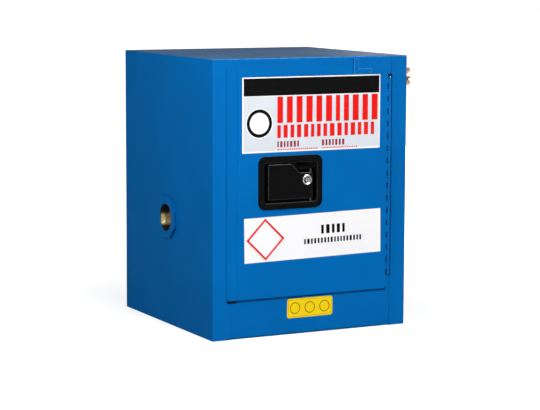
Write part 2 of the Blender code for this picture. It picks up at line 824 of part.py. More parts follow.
def make_shelf_supports():
    places = [FRONT + STANDARD_FRONT, BACK - STANDARD_BACK]
    number = 1
    for wall, inward in ((LINER_LEFT, 1), (LINER_RIGHT, -1)):
        for y_middle in places:
            face = make_standard(f"shelf_standard_{number}", wall, inward, y_middle)
            make_clip(f"shelf_clip_{number}", face, inward, y_middle)
            number += 1


# Vents

def make_vent(label, side, height):
    """Octagonal boss outside, threaded sleeve through both walls, screen and ring in it, locknut inside."""
    outer = side * WIDTH / 2
    liner = side * (WIDTH / 2 - WALL)
    centre = (0, 0, height)
    reach = WALL + SLEEVE_TAIL + OVERRUN
    hole_radius = SLEEVE_RADIUS + SLEEVE_FIT
    low, high = sorted((outer + side * (BOSS_THICK + OVERRUN), outer - side * reach))
    hole = cylinder(f"vent_hole_{label}", centre, hole_radius, low, high, "X", SIDE_COUNT)
    cut(bpy.data.objects[f"side_panel_{label}"], hole)
    cut(bpy.data.objects[f"liner_{label}"], hole)

    low, high = sorted((outer + side * SEAM, outer + side * (SEAM + BOSS_THICK)))
    octagon = polygon((0, height), BOSS_FLATS, 8, 0.5)
    boss = prism(f"vent_boss_{label}", octagon, low, high, "X", BLUE)
    bore = cylinder(
        f"vent_boss_bore_{label}", centre, hole_radius, low - OVERRUN, high + OVERRUN, "X", SIDE_COUNT
    )
    cut(boss, bore)

    mouth = SEAM + BOSS_THICK - SLEEVE_SINK
    tail = WALL + SLEEVE_TAIL
    profile = [(SLEEVE_RADIUS, mouth), (SLEEVE_RADIUS, -tail), (SLEEVE_BORE, -tail)]
    for turn in reversed(range(THREAD_COUNT)):
        top = mouth - (turn + 0.5) * THREAD_PITCH
        profile.append((SLEEVE_BORE, top - THREAD_PITCH / 2))
        profile.append((SLEEVE_BORE + THREAD_DEPTH, top))
    profile.append((SLEEVE_BORE, mouth))
    sleeve = turned(f"vent_sleeve_{label}", profile, (outer, 0, height), "X", SIDE_COUNT, ZINC)
    if side < 0:
        sleeve.matrix_world = sleeve.matrix_world @ Matrix.Rotation(math.pi, 4, "X")

    front = outer - side * SCREEN_SINK
    low, high = sorted((front, front - side * SCREEN_THICK))
    screen_radius = SLEEVE_BORE - SLEEVE_FIT
    cylinder(f"arrester_screen_{label}", centre, screen_radius, low, high, "X", SIDE_COUNT, MESH)
    low, high = sorted((front + side * SEAM, front + side * (SEAM + RING_THICK)))
    ring = cylinder(f"arrester_ring_{label}", centre, screen_radius, low, high, "X", SIDE_COUNT, STEEL)
    eye = cylinder(
        f"arrester_ring_eye_{label}", centre, screen_radius - RING_WIDTH, low - OVERRUN, high + OVERRUN,
        "X", SIDE_COUNT,
    )
    cut(ring, eye)

    low, high = sorted((liner - side * SEAM, liner - side * (SEAM + LOCKNUT_THICK)))
    hexagon = polygon((0, height), LOCKNUT_FLATS, 6, 0.5)
    locknut = prism(f"vent_locknut_{label}", hexagon, low, high, "X", ZINC)
    cut(locknut, hole)


# Grounding lug

def make_ground():
    """A stud through the right side, its nut and washer outside it, and a wing nut that turns on it."""
    centre = (0, GROUND_Y, GROUND_Z)
    sheet_inside = RIGHT - SHEET
    hole = cylinder(
        "ground_hole", centre, STUD_RADIUS + SEAM, sheet_inside - OVERRUN, RIGHT + OVERRUN, "X", SMALL_SIDE_COUNT
    )
    cut(bpy.data.objects["side_panel_right"], hole)
    profile = [
        (0, STUD_LENGTH),
        (STUD_RADIUS, STUD_LENGTH),
        (STUD_RADIUS, -SHEET - SEAM),
        (STUD_HEAD_RADIUS, -SHEET - SEAM),
        (STUD_HEAD_RADIUS, -SHEET - SEAM - STUD_HEAD),
        (0, -SHEET - SEAM - STUD_HEAD),
    ]
    turned("ground_stud", profile, (RIGHT, GROUND_Y, GROUND_Z), "X", SMALL_SIDE_COUNT, BRASS, closed=False)
    low = RIGHT + SEAM
    high = low + GROUND_NUT
    eye = cylinder(
        "ground_eye", centre, STUD_RADIUS + RUNNING, RIGHT, RIGHT + STUD_LENGTH + OVERRUN, "X", SMALL_SIDE_COUNT
    )
    hexagon = polygon((GROUND_Y, GROUND_Z), GROUND_NUT_FLATS, 6, 0)
    nut = prism("ground_nut", hexagon, low, high, "X", BRASS)
    cut(nut, eye)
    low = high + SEAM
    high = low + WASHER
    washer = cylinder("ground_washer", centre, WASHER_RADIUS, low, high, "X", SMALL_SIDE_COUNT, BRASS)
    cut(washer, eye)

    low = high + SEAM
    high = low + WING_HUB
    wings = cylinder("ground_wing_nut", centre, WING_HUB_RADIUS, low, high, "X", SMALL_SIDE_COUNT, BRASS)
    tip_y = WING_SPAN / 2 - WING_TIP_RADIUS
    tip_x = low + WING_HEIGHT - WING_TIP_RADIUS
    outline = []
    arc_count = ARC_STEP_COUNT * 2
    for step in range(arc_count + 1):
        angle = math.radians(WING_ARC_START_DEG + WING_ARC_DEG * step / arc_count)
        outline.append((tip_y + WING_TIP_RADIUS * math.cos(angle), tip_x + WING_TIP_RADIUS * math.sin(angle)))
    outline.append((STUD_RADIUS + RUNNING, low + WING_HUB * WING_ROOT_HIGH_SHARE))
    outline.append((STUD_RADIUS + RUNNING, low + WING_HUB * WING_ROOT_LOW_SHARE))
    for label, sign in (("up", 1), ("down", -1)):
        points = [(x, GROUND_Z + sign * reach) for reach, x in outline]
        wing = prism(
            f"wing_{label}", points, GROUND_Y - WING_THICK / 2, GROUND_Y + WING_THICK / 2, "Y"
        )
        join(wings, wing)
    cut(wings, eye)
    hang(wings, joint_empty("ground_axis", (RIGHT, GROUND_Y, GROUND_Z)))


# Hinge

def make_leaf(name, side, first):
    """A hinge leaf: a sheet with tabs along its edge, each of which ends in a knuckle round the pin.

    The door's leaf is flat, and its knuckles reach over to the skin's edge. The frame's leaf is joggled
    out to lie on the jamb.
    """
    y_plate = HINGE_Y + BARREL_RADIUS + KNUCKLE_GAP * 2
    y_tab = HINGE_Y + KNUCKLE_TAB_START
    y_step = FRONT + LEAF_STEP_DEPTH
    middle_x = HINGE_X + side * (BARREL_RADIUS - LEAF_INSET - LEAF / 2)
    jamb_x = OPEN_RIGHT - JAMB_GAP - LEAF / 2
    end = (middle_x, HINGE_Y + LEAF_REACH)
    path = [(middle_x, y_tab)]
    if side > 0:
        path += [(middle_x, y_step), (jamb_x, y_step)]
        end = (jamb_x, HINGE_Y + LEAF_REACH)
    path.append(end)
    low_z = HINGE_BOTTOM
    high_z = HINGE_BOTTOM + HINGE_LENGTH
    leaf = prism(name, sheet_section(path, LEAF, LEAF_BEND), low_z, high_z, "Z", BLUE)

    rings = []
    front = y_tab - OVERRUN
    gaps = [(front - OVERRUN, low_z - OVERRUN), (y_plate, low_z - OVERRUN)]
    for pair in range(KNUCKLE_PAIR_COUNT):
        low = low_z + (2 * pair + first) * KNUCKLE_PITCH + KNUCKLE_GAP / 2
        high = low + KNUCKLE_PITCH - KNUCKLE_GAP
        rings.append((low, high))
        gaps += [(y_plate, low + TAB_INSET), (front, low + TAB_INSET)]
        gaps += [(front, high - TAB_INSET), (y_plate, high - TAB_INSET)]
    gaps += [(y_plate, high_z + OVERRUN), (front - OVERRUN, high_z + OVERRUN)]
    cut(leaf, prism(f"{name}_gaps", gaps, middle_x - LEAF, middle_x + LEAF, "X"))

    for number, (low, high) in enumerate(rings):
        knuckle = cylinder(
            f"{name}_knuckle_{number}", (HINGE_X, HINGE_Y, 0), BARREL_RADIUS, low, high, "Z", KNUCKLE_SIDE_COUNT
        )
        join(leaf, knuckle)
        if side < 0:
            wrap = box(
                f"{name}_wrap_{number}",
                SKIN_RIGHT + SEAM,
                HINGE_X - BARREL_RADIUS / 2,
                SKIN_FRONT + WRAP_SINK,
                SKIN_FRONT + WRAP_SINK + WRAP_THICK,
                low + TAB_INSET,
                high - TAB_INSET,
            )
            join(leaf, wrap)
    bore = cylinder(
        f"{name}_bore",
        (HINGE_X, HINGE_Y, 0),
        KNUCKLE_BORE,
        low_z - OVERRUN,
        high_z + OVERRUN,
        "Z",
        KNUCKLE_SIDE_COUNT,
    )
    cut(leaf, bore)
    return leaf


def make_hinge(door_axis):
    make_leaf("hinge_leaf_frame", 1, 0)
    hang(make_leaf("hinge_leaf_door", -1, 1), door_axis)
    cylinder(
        "hinge_pin",
        (HINGE_X, HINGE_Y, 0),
        PIN_RADIUS,
        HINGE_BOTTOM - PIN_OVERHANG,
        HINGE_BOTTOM + HINGE_LENGTH + PIN_OVERHANG,
        "Z",
        KNUCKLE_SIDE_COUNT,
        STEEL,
    )


# Door

def make_door_skin(door_axis):
    """The outer sheet, set back along its latch edge, with a rounded outline and the dish's cut-out."""
    strip_front = SKIN_FRONT + LATCH_STEP + HALF_SHEET
    bend_x = SKIN_LEFT + LATCH_STRIP
    path = [
        (SKIN_LEFT, strip_front),
        (bend_x - BEND, strip_front),
        (bend_x + BEND, SKIN_FRONT + HALF_SHEET),
        (SKIN_RIGHT, SKIN_FRONT + HALF_SHEET),
    ]
    section = sheet_section(path, SHEET, BEND)
    skin = prism("door_skin", section, DOOR_BOTTOM, SKIN_TOP, "Z", BLUE)
    rounded = rounded_rectangle(SKIN_LEFT, SKIN_RIGHT, DOOR_BOTTOM, SKIN_TOP, DOOR_CORNER)
    trim = prism("door_skin_trim", rounded, SKIN_FRONT - OVERRUN, FRONT + OVERRUN, "Y")
    apply_boolean(skin, trim, "INTERSECT")
    hole = prism(
        "door_skin_hole",
        rounded_rectangle(
            POCKET_LEFT - DISH_WALL - SEAM,
            POCKET_RIGHT + DISH_WALL + SEAM,
            POCKET_BOTTOM - DISH_WALL - SEAM,
            POCKET_TOP + DISH_WALL + SEAM,
            POCKET_CORNER + DISH_WALL,
        ),
        SKIN_FRONT - OVERRUN,
        FRONT + OVERRUN,
        "Y",
    )
    cut(skin, hole)
    hang(skin, door_axis)


def make_door_pan(door_axis):
    """The inner tray of the double-walled door, open towards the skin, with a way out for the bolt."""
    front = SKIN_BACK + SEAM
    pan = box("door_pan", PAN_LEFT, PAN_RIGHT, front, PAN_BACK, PAN_BOTTOM, PAN_TOP, BLUE)
    hollow = box(
        "door_pan_hollow",
        PAN_LEFT + SHEET,
        PAN_RIGHT - SHEET,
        front - OVERRUN,
        PAN_BACK - SHEET,
        PAN_BOTTOM + SHEET,
        PAN_TOP - SHEET,
    )
    cut(pan, hollow)
    port = box(
        "door_pan_port",
        PAN_LEFT - OVERRUN,
        PAN_LEFT + OVERRUN,
        BOLT_FRONT - SEAM,
        BOLT_BACK + SEAM,
        BOLT_Z - BOLT_HEIGHT / 2 - SEAM,
        BOLT_Z + BOLT_HEIGHT / 2 + SEAM,
    )
    cut(pan, port)
    hang(pan, door_axis)


def make_corner_angle(door_axis):
    """The thick L-shaped piece at the door's top, near the hinge."""
    left = LEFT + ANGLE_LEFT
    points = [
        (left, ANGLE_BASE),
        (left + ANGLE_LENGTH, ANGLE_BASE),
        (left + ANGLE_LENGTH, ANGLE_BASE + ANGLE_LEG),
        (left + ANGLE_LEG, ANGLE_BASE + ANGLE_LEG),
        (left + ANGLE_LEG, ANGLE_BASE + ANGLE_HEIGHT),
        (left, ANGLE_BASE + ANGLE_HEIGHT),
    ]
    back = SKIN_FRONT - SEAM
    outline = fillet(points, ANGLE_CORNER, closed=True)
    angle = prism("corner_angle", outline, back - ANGLE_THICK, back, "Y", BLUE)
    hang(angle, door_axis)


# Handle

def make_handle_dish(door_axis):
    """A moulded tray: a rounded bezel on the skin, a pocket behind it, and a ledge for the paddle's pin."""
    outline = rounded_rectangle(DISH_X, DISH_RIGHT, DISH_BOTTOM, DISH_TOP, DISH_CORNER)
    dish = prism("handle_dish", outline, BEZEL_FRONT, BEZEL_BACK, "Y", BLACK)
    bevel(dish, BEZEL_ROUND / 2, 2)
    tray = prism(
        "handle_dish_tray",
        rounded_rectangle(
            POCKET_LEFT - DISH_WALL,
            POCKET_RIGHT + DISH_WALL,
            POCKET_BOTTOM - DISH_WALL,
            POCKET_TOP + DISH_WALL,
            POCKET_CORNER + DISH_WALL,
        ),
        BEZEL_FRONT + BEZEL / 2,
        DISH_BACK,
        "Y",
    )
    join(dish, tray)
    pocket = prism(
        "handle_dish_pocket",
        rounded_rectangle(POCKET_LEFT, POCKET_RIGHT, POCKET_BOTTOM, POCKET_TOP, POCKET_CORNER),
        BEZEL_FRONT - OVERRUN,
        POCKET_BACK,
        "Y",
    )
    cut(dish, pocket)
    ledge = box(
        "handle_dish_ledge",
        POCKET_RIGHT - LEDGE_WIDTH,
        POCKET_RIGHT + DISH_WALL / 2,
        LEDGE_FRONT,
        POCKET_BACK + DISH_WALL / 2,
        POCKET_TOP - LEDGE_HEIGHT,
        POCKET_TOP + DISH_WALL / 2,
    )
    join(dish, ledge)
    reach = PIN_SOCKET
    pin_low = POCKET_BOTTOM - reach
    pin_high = POCKET_TOP - LEDGE_HEIGHT + reach * 2
    centre = (PADDLE_X, PADDLE_Y, 0)
    socket = cylinder(
        "paddle_pin_socket", centre, PADDLE_PIN_RADIUS + RUNNING, pin_low, pin_high, "Z", SMALL_SIDE_COUNT
    )
    cut(dish, socket)
    slot = tail_slot("handle_dish_slot", TAIL_CLEAR, POCKET_BACK - OVERRUN, DISH_BACK + OVERRUN)
    cut(dish, slot)
    hang(dish, door_axis)
    pin = cylinder(
        "paddle_pin",
        centre,
        PADDLE_PIN_RADIUS,
        pin_low + SEAM,
        pin_high - SEAM,
        "Z",
        SMALL_SIDE_COUNT,
        BLACK_STEEL,
    )
    hang(pin, door_axis)


def tail_slot(name, clear, y0, y1):
    """The cut that lets the paddle's tail swing towards the latch edge."""
    return box(
        name,
        PADDLE_X - TAIL_WIDTH / 2 - TAIL_SWEEP - clear,
        PADDLE_X + TAIL_WIDTH / 2 + clear,
        y0,
        y1,
        TAIL_BOTTOM - clear,
        TAIL_TOP + clear,
    )


def make_paddle(door_axis):
    """The paddle: a stepped plate with two eyes on its pin and a tail that works the lever."""
    low_top = PADDLE_TOP - PADDLE_STEP
    grip = PADDLE_LEFT + GRIP_WIDTH
    points = [
        (PADDLE_LEFT, PADDLE_BOTTOM),
        (PADDLE_RIGHT, PADDLE_BOTTOM),
        (PADDLE_RIGHT, low_top),
        (grip + PADDLE_STEP, low_top),
        (grip, PADDLE_TOP),
        (PADDLE_LEFT, PADDLE_TOP),
    ]
    outline = fillet(points, PADDLE_CORNER, closed=True)
    paddle = prism("paddle", outline, PADDLE_FRONT, PADDLE_BACK, "Y", BLACK)
    bevel(paddle, PADDLE_EDGE, 2)
    centre = (PADDLE_X, PADDLE_Y, 0)
    inset = PADDLE_PIN_RADIUS
    spans = [
        ("low", PADDLE_BOTTOM + inset, TAIL_TOP),
        ("high", LOCK_Z + LOCK_BARREL_RADIUS + inset, low_top - inset),
    ]
    eye_half = EYE_RADIUS * EYE_NECK_SHARE
    for label, low, high in spans:
        eye = cylinder(f"paddle_eye_{label}", centre, EYE_RADIUS, low, high, "Z", SMALL_SIDE_COUNT)
        join(paddle, eye)
        neck = box(
            f"paddle_neck_{label}",
            PADDLE_X - eye_half,
            PADDLE_X + eye_half,
            PADDLE_BACK - PADDLE_THICK / 2,
            PADDLE_Y,
            low + SEAM,
            high - SEAM,
        )
        join(paddle, neck)
    tail = box(
        "paddle_tail",
        PADDLE_X - TAIL_WIDTH / 2,
        PADDLE_X + TAIL_WIDTH / 2,
        PADDLE_Y,
        TAIL_BACK,
        TAIL_BOTTOM,
        TAIL_TOP - SEAM,
    )
    join(paddle, tail)
    bore = cylinder(
        "paddle_bore",
        centre,
        PADDLE_PIN_RADIUS + RUNNING,
        POCKET_BOTTOM,
        POCKET_TOP,
        "Z",
        SMALL_SIDE_COUNT,
    )
    cut(paddle, bore)
    lock_hole = cylinder(
        "paddle_lock_hole",
        (LOCK_X, 0, LOCK_Z),
        LOCK_BARREL_RADIUS + SEAM,
        PADDLE_FRONT - OVERRUN,
        PADDLE_BACK + OVERRUN,
        "Y",
        SMALL_SIDE_COUNT,
    )
    cut(paddle, lock_hole)
    axis = joint_empty("paddle_axis", (PADDLE_X, PADDLE_Y, LEVER_LOW), door_axis)
    hang(paddle, axis)
    return axis


def make_lock(paddle_axis):
    """A lock barrel with its flange on the paddle's face, and a plug that turns in it and carries a cam."""
    back = PADDLE_FRONT - SEAM
    face = back - LOCK_FLANGE
    profile = [
        (LOCK_BARREL_RADIUS, LOCK_BARREL_LENGTH),
        (PLUG_RADIUS + RUNNING, LOCK_BARREL_LENGTH),
        (PLUG_RADIUS + RUNNING, -LOCK_FLANGE),
        (LOCK_FLANGE_RADIUS * FLANGE_FACE_SHARE, -LOCK_FLANGE),
        (LOCK_FLANGE_RADIUS, -LOCK_FLANGE / 2),
        (LOCK_FLANGE_RADIUS, 0),
        (LOCK_BARREL_RADIUS, 0),
    ]
    # Local Z runs towards the viewer here, so heights change sign
    profile = [(r, -h) for r, h in profile]
    place = (LOCK_X, back, LOCK_Z)
    barrel = turned("lock_barrel", profile, place, "Y", SMALL_SIDE_COUNT, STEEL)
    hang(barrel, paddle_axis)
    plug = cylinder(
        "lock_plug",
        (LOCK_X, 0, LOCK_Z),
        PLUG_RADIUS,
        face - PLUG_PROUD,
        back + LOCK_BARREL_LENGTH + SEAM + CAM_THICK,
        "Y",
        SMALL_SIDE_COUNT,
        STEEL,
    )
    keyway = box(
        "lock_keyway",
        LOCK_X - KEYWAY_WIDTH / 2,
        LOCK_X + KEYWAY_WIDTH / 2,
        face - PLUG_PROUD - OVERRUN,
        face + KEYWAY_DEPTH,
        LOCK_Z - KEYWAY_HEIGHT / 2,
        LOCK_Z + KEYWAY_HEIGHT / 2,
    )
    cut(plug, keyway)
    cam_front = back + LOCK_BARREL_LENGTH + SEAM
    cam = box(
        "lock_cam",
        LOCK_X - CAM_WIDTH / 2,
        LOCK_X + CAM_WIDTH / 2,
        cam_front,
        cam_front + CAM_THICK - CAM_THICK * CAM_SINK_SHARE,
        LOCK_Z,
        LOCK_Z + CAM_LENGTH,
    )
    join(plug, cam)
    hang(plug, joint_empty("lock_axis", (LOCK_X, face, LOCK_Z), paddle_axis))


# Latch works

def make_latch(door_axis):
    margin = LATCH_PLATE_MARGIN
    plate = box(
        "latch_plate",
        DISH_X + margin,
        DISH_RIGHT - margin,
        LATCH_FRONT,
        LATCH_BACK,
        DISH_BOTTOM + margin,
        DISH_TOP - margin,
        GALVANISED,
    )
    slot = tail_slot("latch_plate_slot", TAIL_CLEAR, LATCH_FRONT - OVERRUN, LATCH_BACK + OVERRUN)
    cut(plate, slot)
    stem = cylinder(
        "latch_plate_stem",
        (LEVER_X, 0, LEVER_Z),
        LEVER_PIN_RADIUS + RUNNING,
        LATCH_FRONT - OVERRUN,
        LATCH_BACK + OVERRUN,
        "Y",
        SMALL_SIDE_COUNT,
    )
    cut(plate, stem)
    hang(plate, door_axis)

    head = LEVER_PIN_RADIUS * LEVER_HEAD_SHARE
    profile = [
        (0, LATCH_FRONT + SEAM),
        (LEVER_PIN_RADIUS, LATCH_FRONT + SEAM),
        (LEVER_PIN_RADIUS, LEVER_BACK + SEAM),
        (head, LEVER_BACK + SEAM),
        (head, BOLT_FRONT - SEAM),
        (0, BOLT_FRONT - SEAM),
    ]
    profile = [(r, -h) for r, h in profile]
    pin = turned("lever_pin", profile, (LEVER_X, 0, LEVER_Z), "Y", SMALL_SIDE_COUNT, STEEL, closed=False)
    hang(pin, door_axis)

    half = LEVER_WIDTH / 2
    outline = fillet(
        [
            (LEVER_X - half, LEVER_LOW - half),
            (LEVER_X + half, LEVER_LOW - half),
            (LEVER_X + half, BOLT_Z + half),
            (LEVER_X - half, BOLT_Z + half),
        ],
        half * LEVER_ROUND_SHARE,
        closed=True,
    )
    lever = prism("latch_lever", outline, LEVER_FRONT, LEVER_BACK, "Y", STEEL)
    eye = cylinder(
        "latch_lever_eye",
        (LEVER_X, 0, LEVER_Z),
        LEVER_PIN_RADIUS + RUNNING,
        LEVER_FRONT - OVERRUN,
        LEVER_BACK + OVERRUN,
        "Y",
        SMALL_SIDE_COUNT,
    )
    cut(lever, eye)
    peg = cylinder(
        "latch_lever_peg",
        (LEVER_X, 0, BOLT_Z),
        DRIVE_PEG_RADIUS,
        LEVER_FRONT + LEVER_THICK / 2,
        BOLT_BACK,
        "Y",
        SMALL_SIDE_COUNT,
    )
    join(lever, peg)
    hang(lever, joint_empty("lever_axis", (LEVER_X, LEVER_FRONT, LEVER_Z), door_axis))

    bolt = box(
        "latch_bolt",
        BOLT_LEFT,
        BOLT_RIGHT,
        BOLT_FRONT,
        BOLT_BACK,
        BOLT_Z - BOLT_HEIGHT / 2,
        BOLT_Z + BOLT_HEIGHT / 2,
        STEEL,
    )
    window = box(
        "latch_bolt_slot",
        LEVER_X - BOLT_SLOT_WIDTH / 2,
        LEVER_X + BOLT_SLOT_WIDTH / 2,
        BOLT_FRONT - OVERRUN,
        BOLT_BACK + OVERRUN,
        BOLT_Z - BOLT_SLOT_HEIGHT / 2,
        BOLT_Z + BOLT_SLOT_HEIGHT / 2,
    )
    cut(bolt, window)
    hang(bolt, door_axis)

    left = DISH_X + GUIDE_INSET
    right = BOLT_RIGHT - GUIDE_WIDTH
    for label, x0 in (("left", left), ("right", right)):
        make_guide(f"bolt_guide_{label}", x0, door_axis)


def make_guide(name, x0, door_axis):
    """A block on the latch plate with a window that the bolt slides through."""
    rise = BOLT_HEIGHT / 2 + GUIDE_WALL
    guide = box(
        name,
        x0,
        x0 + GUIDE_WIDTH,
        LATCH_BACK + SEAM,
        BOLT_BACK + GUIDE_WALL,
        BOLT_Z - rise,
        BOLT_Z + rise,
        STEEL,
    )
    window = box(
        f"{name}_window",
        x0 - OVERRUN,
        x0 + GUIDE_WIDTH + OVERRUN,
        BOLT_FRONT - SEAM,
        BOLT_BACK + SEAM,
        BOLT_Z - BOLT_HEIGHT / 2 - SEAM,
        BOLT_Z + BOLT_HEIGHT / 2 + SEAM,
    )
    cut(guide, window)
    hang(guide, door_axis)


def main():
    make_body()
    make_liner()
    make_jambs()
    make_shelf()
    make_shelf_supports()
    make_vent("left", -1, VENT_LEFT_HEIGHT)
    make_vent("right", 1, VENT_RIGHT_HEIGHT)
    make_ground()
    door_axis = joint_empty("door_axis", (HINGE_X, HINGE_Y, HINGE_BOTTOM))
    make_hinge(door_axis)
    make_door_skin(door_axis)
    make_door_pan(door_axis)
    make_corner_angle(door_axis)
    make_handle_dish(door_axis)
    paddle_axis = make_paddle(door_axis)
    make_lock(paddle_axis)
    make_latch(door_axis)


main()
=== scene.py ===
"""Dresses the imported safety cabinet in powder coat, black moulding, metal and stickers, and lights it."""

import json
import math
import random

import bmesh
import bpy
from bpy.props import FloatProperty, FloatVectorProperty, PointerProperty
from mathutils import Matrix, Vector


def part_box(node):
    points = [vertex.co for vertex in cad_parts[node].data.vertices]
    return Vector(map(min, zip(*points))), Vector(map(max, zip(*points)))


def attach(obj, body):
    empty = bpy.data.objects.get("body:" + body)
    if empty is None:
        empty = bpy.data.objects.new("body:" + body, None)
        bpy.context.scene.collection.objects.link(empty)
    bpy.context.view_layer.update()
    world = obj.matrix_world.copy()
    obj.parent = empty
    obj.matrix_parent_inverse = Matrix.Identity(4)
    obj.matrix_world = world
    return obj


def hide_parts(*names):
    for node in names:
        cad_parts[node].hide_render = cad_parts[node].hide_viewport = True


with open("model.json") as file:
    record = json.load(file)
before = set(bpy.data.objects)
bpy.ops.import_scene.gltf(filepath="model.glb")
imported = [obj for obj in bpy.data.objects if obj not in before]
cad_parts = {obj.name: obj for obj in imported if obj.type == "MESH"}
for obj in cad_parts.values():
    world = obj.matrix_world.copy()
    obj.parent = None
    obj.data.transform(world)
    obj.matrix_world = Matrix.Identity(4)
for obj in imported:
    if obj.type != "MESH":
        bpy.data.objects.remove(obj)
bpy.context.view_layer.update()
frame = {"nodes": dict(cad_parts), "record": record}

bl_info = {
    "name": "Safety cabinet",
    "version": (1, 0, 0),
    "blender": (4, 5, 0),
    "location": "View3D > Sidebar > Safety cabinet",
    "description": "Finishes the packed safety cabinet and lights it",
    "category": "Object",
}

MM = 0.001
NODES = frame["nodes"]
SUBPARTS = frame["record"]["subparts"]
BODY_OF = {node: body for body, nodes in frame["record"]["behaviour"]["bodies"].items() for node in nodes}

# Places that the frame gives

DOOR_LOW, DOOR_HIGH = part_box("door_skin")
DISH_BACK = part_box("handle_dish")[1].y
PADDLE_LOW, PADDLE_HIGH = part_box("paddle")
LOCK_LOW, LOCK_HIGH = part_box("lock_barrel")
HINGE_LOW, HINGE_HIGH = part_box("hinge_pin")
TOP_LOW, TOP_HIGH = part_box("top_panel")
SILL_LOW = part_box("sill_panel")[0]
STILE_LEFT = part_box("side_panel_right")[0].x
LEFT_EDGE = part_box("side_panel_left")[0].x
FRONT = Vector((0, -1, 0))
OUTWARD = {"left": -1, "right": 1}

# Mesh work, and the masks that a mesh's points carry

WELD = 0.002 * MM
FLAT_DEG = 0.5
SHARP_DEG = 38.0
FACING = 0.99
UPRIGHT = 0.3
EDGE_MASK = "edge"
# The mask of painted shade inside the vent sleeves
SLEEVE_SHADE_MASK = "sleeve_shade"
# The mask of painted shade on the top's flat face
TOP_SHADE_MASK = "top_shade"
METAL_ROUND = 0.25 * MM
FINE_SEGMENTS = 2
ANGLE_SEGMENTS = 4
LIP_SEGMENTS = 4
RIM_SEGMENTS = 5
CORNER_SEGMENTS = 6
CARD_SEGMENTS = 4
TURN_STEPS = 64

# The top panel's bend, the painted shade in the seams and the crease, and the painted shadow behind and
# under the door skin

BEND = 2.0 * MM
BEND_SHARE = 0.9
TOP_FACE = 0.05 * MM
SEAM = 0.8 * MM
STRIP_WIDTH = 23.0 * MM
STRIP_STEP = 0.8 * MM
SHADOW_CARD = 0.8 * MM
SHADOW_SIDE = 1.1 * MM
UNDER_DOOR = 3.2 * MM
UNDER_STRIP = 1.5 * UNDER_DOOR
SKIN_CORNER = 6.0 * MM

# The piano hinge

KNUCKLES = 32
KNUCKLE_WALL = 1.7 * MM
SLOT_WIDTH = 2.6 * MM
SLOT_DEPTH = 0.4 * MM
SLOT_END = 0.6 * MM
END_GAP = 6.0 * MM

# The paddle's face plate and the dish's ledge

PADDLE_PLATE = 3.0 * MM
PADDLE_PAST_LOCK = 2.1 * MM
LEDGE_START_SHARE = 0.9
LEDGE_STEP = 1.4 * MM
LEDGE_RISE = 11.5 * MM
LEDGE_OVER = 2.0 * MM
LEDGE_BACK = 4.0 * MM

# The lock's turned flange, in shares of its radius and of its thickness

LOCK_FLANGE = 1.6 * MM
NECK_SHARE = 0.63
DOME_SHARE = 0.16
DOME_DEPTH_SHARE = 0.75
DOME_STEPS = 4
RECESS_SHARES = ((0.74, 0.0), (0.66, 0.45), (0.5, 0.6))
BORE_SHARE = 0.48
DARK_SHARE = 0.69
DARK_DEPTH_SHARE = 0.3

# The vents; the painted shade on a sleeve's wall is a slope and a start, over the height from the sleeve's
# middle in radii

BOSS_SHADE = 2.0 * MM
SLEEVE_LIP = 2.5 * MM
RIM_PAINT = 0.1 * MM
MOUTH_SHADE = 1.5
UPPER_SHADE = (3.5, 0.25)
LOWER_SHADE = (-4.0, -1.5)
WIRE = 0.35 * MM
WEAVE_PITCH = 1.8 * MM
WEAVE_RIM = 2.6 * MM
UPRIGHT_LAYER = 2.2
LEVEL_LAYER = 1.2

# The surfaces' relief, and the metals

COAT_RELIEF = 0.05 * MM
GRAIN_RELIEF = 0.02 * MM
PLAIN_SPECULAR = 0.5
# The painted shade inside the vent sleeves: its gloss and its dark brown colour
SLEEVE_SHADE_SPECULAR = 0.02
SLEEVE_SHADE_COLOUR = (0.01, 0.005, 0.003)
PLATINGS = {
    "yellow_zinc": {
        "dark": (0.5, 0.38, 0.12), "light": (0.96, 0.87, 0.52), "rough": (0.2, 0.36),
        "grain": (1, 8, 8), "patch": 70.0, "metallic": 0.85, "takes_sleeve_shade": True,
    },
    "bright_steel": {
        "dark": (0.14, 0.14, 0.14), "light": (0.38, 0.37, 0.36), "rough": (0.14, 0.26),
        "grain": (1, 1, 6), "patch": 90.0,
    },
    "black_steel": {
        "dark": (0.03, 0.03, 0.032), "light": (0.07, 0.07, 0.075), "rough": (0.3, 0.45),
        "grain": (1, 1, 6), "patch": 90.0,
    },
    "brass": {
        "dark": (0.07, 0.04, 0.024), "light": (0.19, 0.12, 0.08), "rough": (0.5, 0.62),
        "grain": (6, 1, 1), "patch": 120.0,
    },
    "arrester_mesh": {
        "dark": (0.2, 0.17, 0.1), "light": (0.45, 0.38, 0.22), "rough": (0.4, 0.55),
        "grain": (1, 1, 1), "patch": 300.0, "metallic": 0.7,
    },
}

# The stickers' print, in mm from the body's left edge and up from the floor: left, right, low, high

INK = 0.03 * MM
PRINT_CORNER = 0.3 * MM
BLOCK_CORNER = 0.6 * MM
BLOCK_SPREAD = (0.8, 1.2)
UPPER_CARD = (62.4, 373.4, 368.6, 517.2)
UPPER_PANEL = (65.4, 371.2, 371.6, 479.4)
UPPER_BAND = (65.4, 371.2, 480.4, 515.0)
CIRCLE_AT = (100.0, 426.5)
CIRCLE_GROUND = 29.5 * MM
CIRCLE_LINE = (21.2 * MM, 27.8 * MM)
UPPER_SEED = 5
UPPER_ROWS = (
    (139.5, 367.5, 426.0, 478.0, 11, 0.62, "red"),
    (139.5, 360.0, 396.5, 422.0, 15, 0.6, "red"),
    (139.7, 188.0, 378.0, 390.0, 7, 0.6, "dark_red"),
    (240.0, 291.0, 378.0, 390.0, 7, 0.6, "dark_red"),
    (140.0, 230.0, 371.9, 374.9, 22, 0.6, "red"),
    (240.0, 321.0, 371.9, 374.9, 20, 0.6, "red"),
)
LOWER_CARD = (67.6, 377.4, 150.6, 239.8)
LOWER_TILT = math.radians(-0.9)
DIAMOND_AT = (114.4, 195.4)
DIAMOND_LINE = (36.4 * MM, 42.2 * MM)
DIAMOND_STEPS = 4
LOWER_SEED = 8
